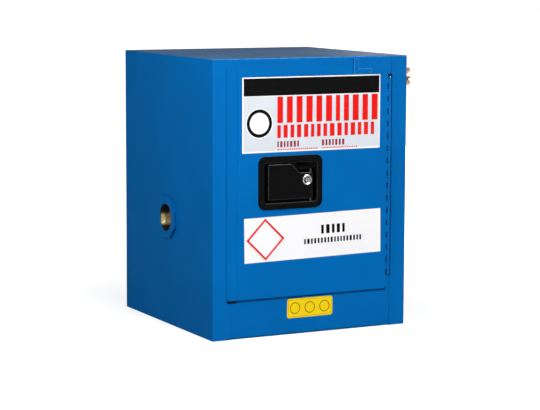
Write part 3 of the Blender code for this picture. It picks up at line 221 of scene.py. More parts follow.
LOWER_ROWS = (
    (240.0, 294.0, 197.5, 215.5, 5, 0.6, "black"),
    (201.0, 332.0, 179.0, 189.5, 18, 0.56, "black"),
)
SILL_CARD = (165.0, 268.5, 33.0, 72.0)
SILL_BORDER = (167.4, 266.1, 35.4, 69.6)
SILL_GROUND = (168.2, 265.3, 36.2, 68.8)
SILL_CORNERS = (5.0 * MM, 3.5 * MM, 3.0 * MM)
SILL_CIRCLES_AT = ((183.0, 52.5), (216.5, 52.5), (250.0, 52.5))
SILL_CIRCLE_LINE = (10.2 * MM, 11.6 * MM)
SILL_CIRCLE_STEPS = 40

# The stage, in metres and radians; the camera was fitted to the body's corners in the photo

WHITE = (1, 1, 1, 1)
CAMERA_AT = (-1.785251, -3.502771, 0.735026)
CAMERA_YAW = 0.475380
CAMERA_PITCH = 0.126703
CAMERA_ROLL = 0.0040752
SENSOR_MM = 36
LAMP_AIM = Vector((0, 0, 0.28))
LAMPS = {
    "key_lamp": ((0.05, -2.7, 1.9), (0.9, 0.9)),
    "fill_lamp": ((-1.0, -0.5, 1.0), (0.5, 0.5)),
    "side_lamp": ((-3.2, -0.6, 1.4), (1.2, 1.2)),
    "back_lamp": ((2.6, 2.6, 0.7), (1.6, 1.6)),
    "glint_lamp": ((0.7, -1.45, 2.1), (2.4, 0.45)),
}
FLOOR_REACH = 12.0
FLOOR_DROP = 0.5 * MM
FLOOR_FADE = (0.35, 1.2)
FLOOR_GLOW = (0.74, 1.2)


# Sizes and colours that a user would change

class PaintSettings(bpy.types.PropertyGroup):
    """The powder coat on the cabinet's sheets."""

    colour: FloatVectorProperty(
        name="Paint colour", description="Colour of the powder coat",
        subtype="COLOR", size=3, min=0, max=1, default=(0.0, 0.138, 0.445),
    )
    # Painted shade: a darker, greyer colour for the top's flat face
    shaded_top_colour: FloatVectorProperty(
        name="Dusty paint colour", description="Colour of the coat under the fine dust on the top",
        subtype="COLOR", size=3, min=0, max=1, default=(0.02, 0.078, 0.165),
    )
    # Pale coat for the speckle and for edge rounds, where it is thin paint and a painted highlight
    pale_coat_and_highlight_colour: FloatVectorProperty(
        name="Thin paint colour", description="Colour where the coat thins over an edge",
        subtype="COLOR", size=3, min=0, max=1, default=(0.05, 0.27, 0.64),
    )
    peel_size: FloatProperty(
        name="Orange peel size", description="Width of one dimple of the coat",
        subtype="DISTANCE", unit="LENGTH", default=1.6 * MM, min=0.1 * MM,
    )
    edge_round: FloatProperty(
        name="Edge round", description="Radius that the coat gives to a cut sheet edge",
        subtype="DISTANCE", unit="LENGTH", default=0.35 * MM, min=0.05 * MM,
    )
    angle_round: FloatProperty(
        name="Corner angle round", description="Radius on the thick corner angle's edges",
        subtype="DISTANCE", unit="LENGTH", default=1.2 * MM, min=0.05 * MM,
    )


class HandleSettings(bpy.types.PropertyGroup):
    """The black dish and paddle."""

    colour: FloatVectorProperty(
        name="Moulding colour", description="Colour of the black moulding",
        subtype="COLOR", size=3, min=0, max=1, default=(0.002, 0.002, 0.0022),
    )
    rim_round: FloatProperty(
        name="Rim round", description="Radius on the rims of the dish and the paddle",
        subtype="DISTANCE", unit="LENGTH", default=2.0 * MM, min=0.1 * MM,
    )
    grip_width: FloatProperty(
        name="Grip width", description="Width of the paddle's tall part",
        subtype="DISTANCE", unit="LENGTH", default=52.0 * MM, min=10 * MM,
    )
    step: FloatProperty(
        name="Paddle step", description="How far the paddle's narrow part is lower",
        subtype="DISTANCE", unit="LENGTH", default=18.5 * MM, min=1 * MM,
    )
    corner: FloatProperty(
        name="Paddle corner", description="Corner radius of the paddle",
        subtype="DISTANCE", unit="LENGTH", default=3.0 * MM, min=0.5 * MM,
    )


class StickerSettings(bpy.types.PropertyGroup):
    """The two door stickers and the small one on the sill."""

    thickness: FloatProperty(
        name="Sticker thickness", description="Thickness of the vinyl",
        subtype="DISTANCE", unit="LENGTH", default=0.12 * MM, min=0.05 * MM,
    )
    corner: FloatProperty(
        name="Sticker corner", description="Corner radius of the vinyl",
        subtype="DISTANCE", unit="LENGTH", default=1.0 * MM, min=0.1 * MM,
    )
    red: FloatVectorProperty(
        name="Red ink", description="Colour of the red print",
        subtype="COLOR", size=3, min=0, max=1, default=(0.83, 0.012, 0.008),
    )
    yellow: FloatVectorProperty(
        name="Yellow ground", description="Colour of the small sticker",
        subtype="COLOR", size=3, min=0, max=1, default=(0.96, 0.68, 0.009),
    )


class StageSettings(bpy.types.PropertyGroup):
    """Camera, lamps and floor."""

    lens: FloatProperty(
        name="Lens", description="Focal length",
        unit="CAMERA", default=125.695, min=1,
    )
    key_power: FloatProperty(
        name="Key lamp", description="Power of the main lamp",
        unit="POWER", default=74.5, min=0,
    )
    fill_power: FloatProperty(
        name="Fill lamp", description="Power of the near left lamp",
        unit="POWER", default=7.5, min=0,
    )
    side_power: FloatProperty(
        name="Side lamp", description="Power of the far left lamp",
        unit="POWER", default=10, min=0,
    )
    back_power: FloatProperty(
        name="Back lamp", description="Power of the lamp behind",
        unit="POWER", default=50, min=0,
    )
    glint_power: FloatProperty(
        name="Glint lamp", description="Power of the lamp that only glosses show",
        unit="POWER", default=650, min=0,
    )
    sky: FloatProperty(
        name="Sky", description="Strength of the light from all round",
        default=0.05, min=0,
    )
    floor_grey: FloatProperty(
        name="Floor", description="Brightness of the floor",
        default=0.45, min=0, max=1,
    )


# Mesh helpers

def add_piece(name, work, materials, body, stands_for=()):
    """Turn a bmesh into a finished piece that rides on a body."""
    mesh = bpy.data.meshes.new(name)
    work.to_mesh(mesh)
    work.free()
    for material in materials:
        mesh.materials.append(material)
    mesh.shade_smooth()
    mesh.set_sharp_from_angle(angle=math.radians(SHARP_DEG))
    piece = bpy.data.objects.new(name, mesh)
    bpy.context.scene.collection.objects.link(piece)
    even = piece.modifiers.new("Even shading", "WEIGHTED_NORMAL")
    even.keep_sharp = True
    even.weight = 100
    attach(piece, body)
    if stands_for:
        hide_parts(*stands_for)


def add_block(work, low, high):
    """A box from its low corner to its high corner; returns its vertices."""
    made = bmesh.ops.create_cube(work, size=1.0)["verts"]
    size = Vector(high) - Vector(low)
    middle = (Vector(high) + Vector(low)) / 2
    bmesh.ops.scale(work, vec=size, verts=made)
    bmesh.ops.translate(work, vec=middle, verts=made)
    return made


def round_edges(work, edges, radius, segments):
    return bmesh.ops.bevel(
        work, geom=edges, offset=radius, offset_type="OFFSET", segments=segments,
        profile=0.5, affect="EDGES", material=-1, clamp_overlap=True,
    )


def add_card(work, x0, x1, z0, z1, back, thickness, corner, material=0):
    """A flat card that faces the front, with rounded corners."""
    before = set(work.faces)
    made = add_block(work, (x0, back - thickness, z0), (x1, back, z1))
    upright = {
        edge for vert in made for edge in vert.link_edges
        if abs((edge.verts[0].co - edge.verts[1].co).y) > thickness / 2
    }
    round_edges(work, list(upright), corner, CARD_SEGMENTS)
    for face in set(work.faces) - before:
        face.material_index = material


def turn_profile(work, points, centre, steps):
    """Spin a closed profile a full turn about the line along Y through centre; returns its faces."""
    old_verts, old_faces = set(work.verts), set(work.faces)
    verts = [work.verts.new(point) for point in points]
    edges = [work.edges.new((verts[i], verts[(i + 1) % len(verts)])) for i in range(len(verts))]
    bmesh.ops.spin(
        work, geom=verts + edges, cent=centre, axis=(0, 1, 0), angle=math.tau,
        steps=steps, use_merge=True, use_duplicate=False,
    )
    made = [vert for vert in work.verts if vert not in old_verts]
    bmesh.ops.remove_doubles(work, verts=made, dist=WELD)
    faces = [face for face in work.faces if face not in old_faces]
    bmesh.ops.recalc_face_normals(work, faces=faces)
    return faces


def add_ring(work, centre, back, thickness, line, steps, material=0):
    """A flat ring or disc that faces the front, between two radii; four steps make a diamond frame."""
    inner, outer = line
    x, z = centre
    corners = [(inner, 0), (outer, 0), (outer, -thickness), (inner, -thickness)]
    points = [(x + reach, back + depth, z) for reach, depth in corners]
    for face in turn_profile(work, points, (x, back, z), steps):
        face.material_index = material


def merged(node):
    """A copy of a CAD node's mesh, merged and with its flat faces whole."""
    work = bmesh.new()
    work.from_mesh(NODES[node].data)
    bmesh.ops.remove_doubles(work, verts=work.verts, dist=WELD)
    bmesh.ops.dissolve_limit(
        work, angle_limit=math.radians(FLAT_DEG), use_dissolve_boundaries=False,
        verts=work.verts, edges=work.edges,
    )
    return work


def is_front_rim(edge):
    """Whether an edge joins a face that looks to the front to one that stands upright to it."""
    if not edge.is_manifold or not edge.is_convex:
        return False
    leans = sorted(face.normal.dot(FRONT) for face in edge.link_faces)
    return leans[1] > FACING and abs(leans[0]) < UPRIGHT


def mark_points(work, mask_name, share_of):
    """Write a mask attribute from a function of each point."""
    mask = work.verts.layers.float.new(mask_name)
    for vert in work.verts:
        vert[mask] = share_of(vert)


def mark_rounds(work, faces):
    """Mark the points that lie on edge rounds only."""
    rounds = set(faces)

    def on_round(vert):
        return float(bool(vert.link_faces) and rounds.issuperset(vert.link_faces))

    mark_points(work, EDGE_MASK, on_round)


def softened(node, width, segments=FINE_SEGMENTS):
    """A merged copy of a CAD node whose sharp edges are rounded, with the rounds marked in an attribute."""
    work = merged(node)
    limit = math.radians(SHARP_DEG)
    sharp = [edge for edge in work.edges if edge.is_manifold and edge.calc_face_angle(0) > limit]
    mark_rounds(work, round_edges(work, sharp, width, segments)["faces"])
    return work


# Material helpers

def new_material(name, base, roughness, metallic=0.0, specular=PLAIN_SPECULAR):
    material = bpy.data.materials.new(name)
    material.use_nodes = True
    tree = material.node_tree
    shader = tree.nodes["Principled BSDF"]
    shader.inputs["Base Color"].default_value = (*base, 1)
    shader.inputs["Roughness"].default_value = roughness
    shader.inputs["Metallic"].default_value = metallic
    shader.inputs["Specular IOR Level"].default_value = specular
    return material, tree, shader


def add_node(tree, kind, inputs=None, **settings):
    made = tree.nodes.new(kind)
    for key, value in settings.items():
        setattr(made, key, value)
    for key, value in (inputs or {}).items():
        if isinstance(value, bpy.types.NodeSocket):
            tree.links.new(value, made.inputs[key])
        else:
            made.inputs[key].default_value = value
    return made


def place(tree):
    return add_node(tree, "ShaderNodeTexCoord").outputs["Object"]


def noise(tree, where, scale, detail, rough=0.55):
    made = add_node(
        tree, "ShaderNodeTexNoise",
        {"Vector": where, "Scale": scale, "Detail": detail, "Roughness": rough},
    )
    return made.outputs["Fac"]


def spread(tree, value, low, high, to_low=0.0, to_high=1.0):
    made = add_node(
        tree, "ShaderNodeMapRange",
        {"Value": value, "From Min": low, "From Max": high, "To Min": to_low, "To Max": to_high},
    )
    return made.outputs["Result"]


def clouds(tree, where, scale, detail, band=(0.3, 0.7), to=(0.0, 1.0)):
    """Soft patches: a band of a noise's values, spread over another range."""
    return spread(tree, noise(tree, where, scale, detail), *band, *to)


def arithmetic(tree, operation, first, second):
    return add_node(tree, "ShaderNodeMath", {0: first, 1: second}, operation=operation).outputs[0]


def toned(colour, factor):
    """A colour made lighter or darker."""
    return tuple(min(1.0, channel * factor) for channel in colour)


def blend_colour(tree, share, first, second):
    made = add_node(tree, "ShaderNodeMix", data_type="RGBA")
    for socket, value in (("A", first), ("B", second)):
        target = next(s for s in made.inputs if s.name == socket and s.type == "RGBA")
        if isinstance(value, bpy.types.NodeSocket):
            tree.links.new(value, target)
        else:
            target.default_value = (*value, 1)
    tree.links.new(share, made.inputs[0])
    return next(s for s in made.outputs if s.type == "RGBA")


def link_finish(tree, shader, base, rough):
    tree.links.new(base, shader.inputs["Base Color"])
    tree.links.new(rough, shader.inputs["Roughness"])


def bump(tree, shader, height, strength, distance):
    made = add_node(tree, "ShaderNodeBump", {"Height": height, "Strength": strength, "Distance": distance})
    tree.links.new(made.outputs["Normal"], shader.inputs["Normal"])


def mask_share(tree, where, mask, breakup, least):
    """A mask from the mesh, broken up by noise so that it is uneven."""
    mark = add_node(tree, "ShaderNodeAttribute", attribute_name=mask).outputs["Fac"]
    patchy = clouds(tree, where, breakup, detail=2.0, band=(0.35, 0.65), to=(least, 1.0))
    return arithmetic(tree, "MULTIPLY", mark, patchy)


def edge_share(tree, where, breakup):
    return mask_share(tree, where, EDGE_MASK, breakup, least=0.35)


def seen_share(tree):
    """1 for what the camera, a gloss or glass sees, and 0 for the light that falls on the object."""
    rays = add_node(tree, "ShaderNodeLightPath").outputs
    shown = arithmetic(tree, "MAXIMUM", rays["Is Camera Ray"], rays["Is Glossy Ray"])
    return arithmetic(tree, "MAXIMUM", shown, rays["Is Transmission Ray"])


# Materials

def powder_coat(settings):
    """Satin blue powder coat: slow drift, pigment speckle, orange peel, a pale edge colour that is thin
    paint and a painted highlight, and painted shade on the top.
    """
    material, tree, shader = new_material("powder_coat", settings.colour, roughness=0.5, specular=0.008)
    where = place(tree)
    drift = clouds(tree, where, scale=5.0, detail=2.0)
    base = blend_colour(tree, drift, toned(settings.colour, 0.94), toned(settings.colour, 1.05))
    speckle = clouds(tree, where, scale=1400.0, detail=1.0, band=(0.55, 0.8), to=(0.0, 0.12))
    base = blend_colour(tree, speckle, base, settings.pale_coat_and_highlight_colour)
    # Edge rounds take the pale colour: thinner paint, and a painted highlight on edges and bends
    base = blend_colour(tree, edge_share(tree, where, breakup=60.0), base, settings.pale_coat_and_highlight_colour)
    # Painted shade on the top's flat face, from the mesh's mask
    top_shade = mask_share(tree, where, TOP_SHADE_MASK, breakup=9.0, least=0.8)
    base = blend_colour(tree, top_shade, base, settings.shaded_top_colour)
    link_finish(tree, shader, base, clouds(tree, where, scale=12.0, detail=3.0, to=(0.46, 0.54)))
    peel = noise(tree, where, 1.0 / settings.peel_size, detail=2.0, rough=0.4)
    bump(tree, shader, peel, strength=0.12, distance=COAT_RELIEF)
    return material


def painted_shade_material(name, dark, light):
    """A dark mottled material that stands in for shade in a narrow joint, where hardly any light comes:
    painted shade.
    """
    material, tree, shader = new_material(name, light, roughness=0.8, specular=0.01)
    shade_mottle = clouds(tree, place(tree), scale=400.0, detail=3.0)
    tree.links.new(blend_colour(tree, shade_mottle, dark, light), shader.inputs["Base Color"])
    bump(tree, shader, shade_mottle, strength=0.2, distance=COAT_RELIEF)
    return material


def black_moulding(settings):
    """Black moulded plastic with a fine grain, and much paler on its edge rounds: a painted highlight with
    some wear.
    """
    material, tree, shader = new_material("black_moulding", settings.colour, roughness=0.34, specular=0.025)
    where = place(tree)
    drift = clouds(tree, where, scale=40.0, detail=3.0, band=(0.35, 0.7))
    base = blend_colour(tree, drift, settings.colour, toned(settings.colour, 1.5))
    # Edge rounds twenty times paler: a painted highlight
    base = blend_colour(tree, edge_share(tree, where, breakup=90.0), base, toned(settings.colour, 20.0))
    link_finish(tree, shader, base, clouds(tree, where, scale=300.0, detail=2.0, to=(0.3, 0.38)))
    grain = noise(tree, where, scale=2200.0, detail=2.0)
    bump(tree, shader, grain, strength=0.15, distance=GRAIN_RELIEF)
    return material


def plated(name, dark, light, rough, grain, patch, metallic=1.0, takes_sleeve_shade=False):
    """Plated metal: uneven tint, bright edges, and fine draw lines along one direction."""
    material, tree, shader = new_material(name, light, rough[1], metallic)
    where = place(tree)
    tint = clouds(tree, where, patch, detail=4.0, band=(0.3, 0.72))
    base = blend_colour(tree, tint, dark, light)
    base = blend_colour(tree, edge_share(tree, where, breakup=200.0), base, toned(light, 1.25))
    # Painted shade from the mesh's mask, used inside the vent sleeves
    if takes_sleeve_shade:
        base = add_sleeve_shade(tree, shader, where, base, metallic)
    stretched = add_node(tree, "ShaderNodeMapping", {"Vector": where, "Scale": grain}).outputs["Vector"]
    lines = noise(tree, stretched, scale=400.0, detail=3.0)
    link_finish(tree, shader, base, spread(tree, lines, 0.25, 0.75, *rough))
    bump(tree, shader, lines, strength=0.1, distance=GRAIN_RELIEF)
    return material


def add_sleeve_shade(tree, shader, where, base, metallic):
    """Painted shade on the marked points: a dark brown that hides the metal's colour and its reflection."""
    share = mask_share(tree, where, SLEEVE_SHADE_MASK, breakup=150.0, least=0.96)
    tree.links.new(spread(tree, share, 0.0, 1.0, metallic, 0.0), shader.inputs["Metallic"])
    specular = spread(tree, share, 0.0, 1.0, PLAIN_SPECULAR, SLEEVE_SHADE_SPECULAR)
    tree.links.new(specular, shader.inputs["Specular IOR Level"])
    return blend_colour(tree, share, base, SLEEVE_SHADE_COLOUR)


def galvanised():
    """Hot dipped zinc: a spangle of crystal patches with their own tone and gloss."""
    material, tree, shader = new_material("galvanised", (0.5, 0.52, 0.53), roughness=0.42, metallic=1.0)
    where = place(tree)
    cells = add_node(tree, "ShaderNodeTexVoronoi", {"Vector": where, "Scale": 130.0, "Randomness": 1.0})
    tone = add_node(tree, "ShaderNodeSeparateColor", {0: cells.outputs["Color"]}).outputs[0]
    cloud = noise(tree, where, scale=60.0, detail=2.0)
    cell_part = arithmetic(tree, "MULTIPLY", tone, 0.6)
    cloud_part = arithmetic(tree, "MULTIPLY", cloud, 0.4)
    mixed = arithmetic(tree, "ADD", cell_part, cloud_part)
    base = blend_colour(tree, spread(tree, mixed, 0.1, 0.9), (0.4, 0.42, 0.44), (0.62, 0.64, 0.65))
    link_finish(tree, shader, base, spread(tree, mixed, 0.1, 0.9, 0.34, 0.52))
    bump(tree, shader, tone, strength=0.05, distance=GRAIN_RELIEF)
    return material


def vinyl(name, colour, rough=0.35):
    """Printed vinyl: a slight mottle in the ink, a gloss that varies, and a faint ripple."""
    material, tree, shader = new_material(name, colour, rough, specular=0.025)
    where = place(tree)
    mottle = clouds(tree, where, scale=25.0, detail=3.0)
    base = blend_colour(tree, mottle, toned(colour, 0.97), colour)
    gloss = clouds(tree, where, scale=90.0, detail=2.0, to=(rough - 0.05, rough + 0.05))
    link_finish(tree, shader, base, gloss)
    ripple = noise(tree, where, scale=160.0, detail=2.0)
    bump(tree, shader, ripple, strength=0.04, distance=COAT_RELIEF)
    return material


# Operators

class CABINET_OT_paint(bpy.types.Operator):
    """Give every painted sheet its rounded edges and its powder coat, and lay dark painted shade in the
    joints, the hinge slots and under the door
    """

    bl_idname = "cabinet.paint"
    bl_label = "Paint the sheets"

    def execute(self, context):
        settings = context.scene.cabinet_paint
        coat = powder_coat(settings)
        painted = [row["node"] for row in SUBPARTS if row["material_slot"] == "blue_powder_coat"]
        for node in painted + ["hinge_pin"]:
            if node == "corner_angle":
                work = softened(node, settings.angle_round, ANGLE_SEGMENTS)
            else:
                work = softened(node, settings.edge_round)
            if node == "top_panel":
                mark_top(work)
            add_piece(f"{node}_finished", work, [coat], BODY_OF[node], [node])
        # Dark materials that stand in for shade: painted shade in the joints, the slots and under the door
        dark = painted_shade_material("painted_gap_shade", (0.001, 0.004, 0.01), (0.004, 0.009, 0.02))
        blue_shade = painted_shade_material("painted_joint_shade", (0.0005, 0.022, 0.07), (0.001, 0.034, 0.1))
        add_hinge_shade(dark)
        add_seam_shade(blue_shade)
        add_door_shadow([blue_shade, dark])
        return {"FINISHED"}


def mark_top(work):
    """Painted shade on the top's flat face, and a painted highlight in the pale edge colour over the bend
    all round it.
    """
    edge = work.verts.layers.float[EDGE_MASK]
    for vert in work.verts:
        depth = TOP_HIGH.z - vert.co.z
        if TOP_FACE < depth < BEND_SHARE * BEND:
            vert[edge] = 1.0
    mark_points(work, TOP_SHADE_MASK, lambda vert: float(vert.co.z > TOP_HIGH.z - TOP_FACE))


def add_seam_shade(blue_shade):
    """Painted shade: dark strips in the joint beside the right stile, in the notch at the top left corner,
    and along the door's crease.
    """
    work = bmesh.new()
    front = SILL_LOW.y
    for z0, z1 in ((SILL_LOW.z, HINGE_LOW.z), (HINGE_HIGH.z + END_GAP, TOP_HIGH.z - BEND)):
        low = (STILE_LEFT - SEAM / 2, front - INK, z0)
        add_block(work, low, (STILE_LEFT + SEAM / 2, front + WELD, z1))
    notch = TOP_LOW.x + BEND
    low = (notch - SEAM, front - INK, TOP_HIGH.z - 2 * BEND)
    add_block(work, low, (notch, front + WELD, TOP_HIGH.z - BEND))
    add_piece("frame_seam_shade", work, [blue_shade], "cabinet")
    work = bmesh.new()
    crease = DOOR_LOW.x + STRIP_WIDTH
    low = (crease - SEAM / 2, DOOR_LOW.y + STRIP_STEP - INK, DOOR_LOW.z + INK)
    add_block(work, low, (crease, DOOR_LOW.y + STRIP_STEP + WELD, DOOR_HIGH.z - INK))
    add_piece("door_crease_shade", work, [blue_shade], "door")


def add_door_shadow(materials):
    """Painted shadow: thin dark cards behind the door skin, which show a little beside it and most under
    it.
    """
    work = bmesh.new()
    back = DOOR_HIGH.y + SHADOW_CARD
    left, right = DOOR_LOW.x, DOOR_HIGH.x
    low, high = DOOR_LOW.z, DOOR_HIGH.z
    for z0, z1 in ((low, HINGE_LOW.z), (HINGE_HIGH.z, high - SKIN_CORNER)):
        add_block(work, (right - SHADOW_CARD, back - SHADOW_CARD, z0 + SEAM), (right + SHADOW_SIDE, back, z1))
    under = low + SHADOW_CARD
    corner = UNDER_DOOR / 2
    add_card(work, left + SEAM, right + SEAM, low - UNDER_DOOR, under, back, SHADOW_CARD, corner)
    strip = left + STRIP_WIDTH
    add_card(work, left + 2 * SEAM, strip, low - UNDER_STRIP, under, back - WELD, SHADOW_CARD, corner, 1)
    add_piece("door_painted_shadow", work, materials, "door")


def add_hinge_shade(dark):
    """Painted shade: dark blocks in the slots of the door leaf beside each frame knuckle, and in the gap
    over the hinge's end.
    """
    work = bmesh.new()
    back = DOOR_LOW.y + SLOT_DEPTH
    front = DOOR_LOW.y - INK
    right = HINGE_LOW.x - KNUCKLE_WALL
    pitch = (HINGE_HIGH.z - HINGE_LOW.z) / KNUCKLES
    for number in range(0, KNUCKLES, 2):
        low = HINGE_LOW.z + number * pitch + SLOT_END
        add_block(work, (right - SLOT_WIDTH, front, low), (right, back, low + pitch - 2 * SLOT_END))
    add_piece("hinge_slot_shade", work, [dark], "door")
    work = bmesh.new()
    low = (right - SLOT_WIDTH / 2, SILL_LOW.y - SLOT_DEPTH, HINGE_HIGH.z)
    high = (HINGE_HIGH.x + 2 * SLOT_WIDTH, SILL_LOW.y + SLOT_DEPTH, HINGE_HIGH.z + END_GAP)
    add_block(work, low, high)
    add_piece("hinge_end_shade", work, [dark], "cabinet")


class CABINET_OT_handle(bpy.types.Operator):
    """Give the handle dish and the paddle their rounded rims and their black moulding"""

    bl_idname = "cabinet.handle"
    bl_label = "Finish the handle"

    def execute(self, context):
        settings = context.scene.cabinet_handle
        black = black_moulding(settings)
        add_dish(settings, black)
        add_paddle(settings, black)
        return {"FINISHED"}


def add_dish(settings, black):
    """The dish with rounded lips, and its ledge run on behind the paddle's grip."""
    work = merged("handle_dish")
    facing = [edge for edge in work.edges if is_front_rim(edge)]
    mark_rounds(work, round_edges(work, facing, settings.rim_round, LIP_SEGMENTS)["faces"])
    front = PADDLE_LOW.y + PADDLE_PLATE + LEDGE_STEP
    left = PADDLE_LOW.x + settings.grip_width * LEDGE_START_SHARE
    right = PADDLE_LOW.x + settings.grip_width + settings.step
    low, high = PADDLE_HIGH.z - LEDGE_RISE, PADDLE_HIGH.z + LEDGE_OVER
    add_block(work, (left, front, low), (right, DISH_BACK - LEDGE_BACK, high))
    add_piece("handle_dish_finished", work, [black], "door", ["handle_dish"])


def add_paddle(settings, black):
    """The paddle: the CAD's eyes and tail behind a new face plate with rounded rims."""
    work = merged("paddle")
    front, back = PADDLE_LOW.y, PADDLE_LOW.y + PADDLE_PLATE
    geometry = list(work.verts) + list(work.edges) + list(work.faces)
    cut = bmesh.ops.bisect_plane(
        work, geom=geometry, plane_co=(0, back, 0), plane_no=FRONT, clear_outer=True, dist=WELD,
    )
    rim = [item for item in cut["geom_cut"] if isinstance(item, bmesh.types.BMEdge)]
    bmesh.ops.holes_fill(work, edges=rim, sides=0)
    left, low, top = PADDLE_LOW.x, PADDLE_LOW.z, PADDLE_HIGH.z
    right = LOCK_HIGH.x + PADDLE_PAST_LOCK
    shelf = top - settings.step
    grip = left + settings.grip_width
    slant = grip + settings.step
    corners = [(left, low), (right, low), (right, shelf), (slant, shelf), (grip, top), (left, top)]
    verts = [work.verts.new((x, front, z)) for x, z in corners]
    plate = bmesh.ops.contextual_create(work, geom=verts)["faces"]
    grown = bmesh.ops.extrude_face_region(work, geom=plate, use_keep_orig=True)["geom"]
    moved = [item for item in grown if isinstance(item, bmesh.types.BMVert)]
    bmesh.ops.translate(work, vec=(0, back - front, 0), verts=moved)
    solid = set(verts) | set(moved)
    faces = {face for vert in solid for face in vert.link_faces}
    bmesh.ops.recalc_face_normals(work, faces=list(faces))
    upright = {edge for vert in verts for edge in vert.link_edges if edge.other_vert(vert) in moved}
    round_edges(work, list(upright), settings.corner, CORNER_SEGMENTS)
    facing = [edge for edge in work.edges if is_front_rim(edge) and edge.verts[0].co.y < front + WELD]
    mark_rounds(work, round_edges(work, facing, settings.rim_round, RIM_SEGMENTS)["faces"])
    add_piece("paddle_finished", work, [black], "paddle_arm", ["paddle"])


class CABINET_OT_metals(bpy.types.Operator):
    """Give the lock, latch works, shelf, vents and grounding lug their metals"""

    bl_idname = "cabinet.metals"
    bl_label = "Finish the metals"

    def execute(self, context):
        finishes = {slot: plated(slot, **look) for slot, look in PLATINGS.items()}
        finishes["galvanised_steel"] = galvanised()
        coat = bpy.data.materials["powder_coat"]
        for row in SUBPARTS:
            node, slot = row["node"], row["material_slot"]
            if node.startswith("vent_sleeve"):
                add_sleeve(node, finishes[slot], coat)
            elif node == "lock_barrel":
                add_lock(finishes[slot], finishes["black_steel"])
            elif slot in finishes:
                work = softened(node, METAL_ROUND)
                add_piece(f"{node}_finished", work, [finishes[slot]], BODY_OF[node], [node])
        for side in OUTWARD:
            add_weave(side, finishes["arrester_mesh"])
            add_boss_shade(side, bpy.data.materials["painted_gap_shade"])
        return {"FINISHED"}


def add_boss_shade(side, dark):
    """Painted shade: dark strips under the two lower slanting edges of a vent's octagonal boss."""
    boss = f"vent_boss_{side}"
    low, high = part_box(boss)
    wall = high.x if side == "left" else low.x
    x0, x1 = sorted((wall - OUTWARD[side] * WELD, wall + OUTWARD[side] * INK))
    middle = (low + high) / 2
    flat = (high.z - low.z) / 2
    half = flat * math.tan(math.pi / 8)
    under = middle.z - flat
    work = bmesh.new()
    for turn in (-math.pi / 4, math.pi / 4):
        made = add_block(work, (x0, middle.y - half, under - BOSS_SHADE), (x1, middle.y + half, under))
        bmesh.ops.rotate(work, verts=made, cent=middle, matrix=Matrix.Rotation(turn, 3, "X"))
    add_piece(f"boss_shade_{side}", work, [dark], BODY_OF[boss])


def add_sleeve(node, zinc, coat):
    """A vent sleeve with a powder-coated outer rim, and painted shade in its mouth, over its upper half and
    along its bottom.
    """
    work = softened(node, METAL_ROUND)
    low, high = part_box(node)
    middle = (low + high) / 2
    radius = (high.z - low.z) / 2
    outer = low.x if middle.x < 0 else high.x

    # Painted shade: darker in the mouth, over the upper half and along the bottom of the bore
    def sleeve_shade(vert):
        height = (vert.co.z - middle.z) / radius
        mouth = MOUTH_SHADE - abs(vert.co.x - outer) / SLEEVE_LIP
        walls = [slope * height + start for slope, start in (UPPER_SHADE, LOWER_SHADE)]
        return min(1.0, max(0.0, mouth, *walls))

    mark_points(work, SLEEVE_SHADE_MASK, sleeve_shade)
    for face in work.faces:
        face.material_index = int(abs(face.calc_center_median().x - outer) < RIM_PAINT)
    add_piece(f"{node}_finished", work, [zinc, coat], BODY_OF[node], [node])


def add_weave(side, wire):
    """The arrester's woven wire: upright wires in front of level ones, inside the ring."""
    screen = f"arrester_screen_{side}"
    low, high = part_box(screen)
    middle = (low + high) / 2
    face = low.x if side == "left" else high.x
    reach = (high.z - low.z) / 2 - WEAVE_RIM
    work = bmesh.new()
    count = int(reach / WEAVE_PITCH)
    for number in range(-count, count + 1):
        off = number * WEAVE_PITCH
        half = math.sqrt(reach ** 2 - off ** 2)
        narrow, long = (off - WIRE / 2, off + WIRE / 2), (-half, half)
        for layer, (y0, y1), (z0, z1) in ((UPRIGHT_LAYER, narrow, long), (LEVEL_LAYER, long, narrow)):
            near = face + OUTWARD[side] * layer * WIRE
            x0, x1 = sorted((near, near - OUTWARD[side] * WIRE))
            add_block(work, (x0, middle.y + y0, middle.z + z0), (x1, middle.y + y1, middle.z + z1))
    add_piece(f"arrester_weave_{side}", work, [wire], BODY_OF[screen])


def add_lock(chrome, dark):
    """The lock's turned flange: a domed rim round a dark recess, with the barrel behind it."""
    middle = (LOCK_LOW + LOCK_HIGH) / 2
    radius = (LOCK_HIGH.x - LOCK_LOW.x) / 2
    front, back = LOCK_LOW.y, LOCK_HIGH.y
    flange = front + LOCK_FLANGE
    dome = DOME_DEPTH_SHARE * LOCK_FLANGE
    profile = [(NECK_SHARE, back), (NECK_SHARE, flange), (1.0, flange), (1.0, front + dome)]
    for step in range(1, DOME_STEPS + 1):
        lean = step / DOME_STEPS * math.pi / 2
        profile.append((1.0 - DOME_SHARE * (1 - math.cos(lean)), front + dome * (1 - math.sin(lean))))
    profile += [(share, front + depth_share * LOCK_FLANGE) for share, depth_share in RECESS_SHARES]
    profile.append((BORE_SHARE, back))
    work = bmesh.new()
    points = [(middle.x + share * radius, y, middle.z) for share, y in profile]
    for face in turn_profile(work, points, middle, TURN_STEPS):
        spot = face.calc_center_median()
        out = math.hypot(spot.x - middle.x, spot.z - middle.z) / radius
        face.material_index = int(out < DARK_SHARE and spot.y > front + DARK_DEPTH_SHARE * LOCK_FLANGE)
    body = BODY_OF["lock_barrel"]
    add_piece("lock_barrel_finished", work, [chrome, dark], body, ["lock_barrel"])


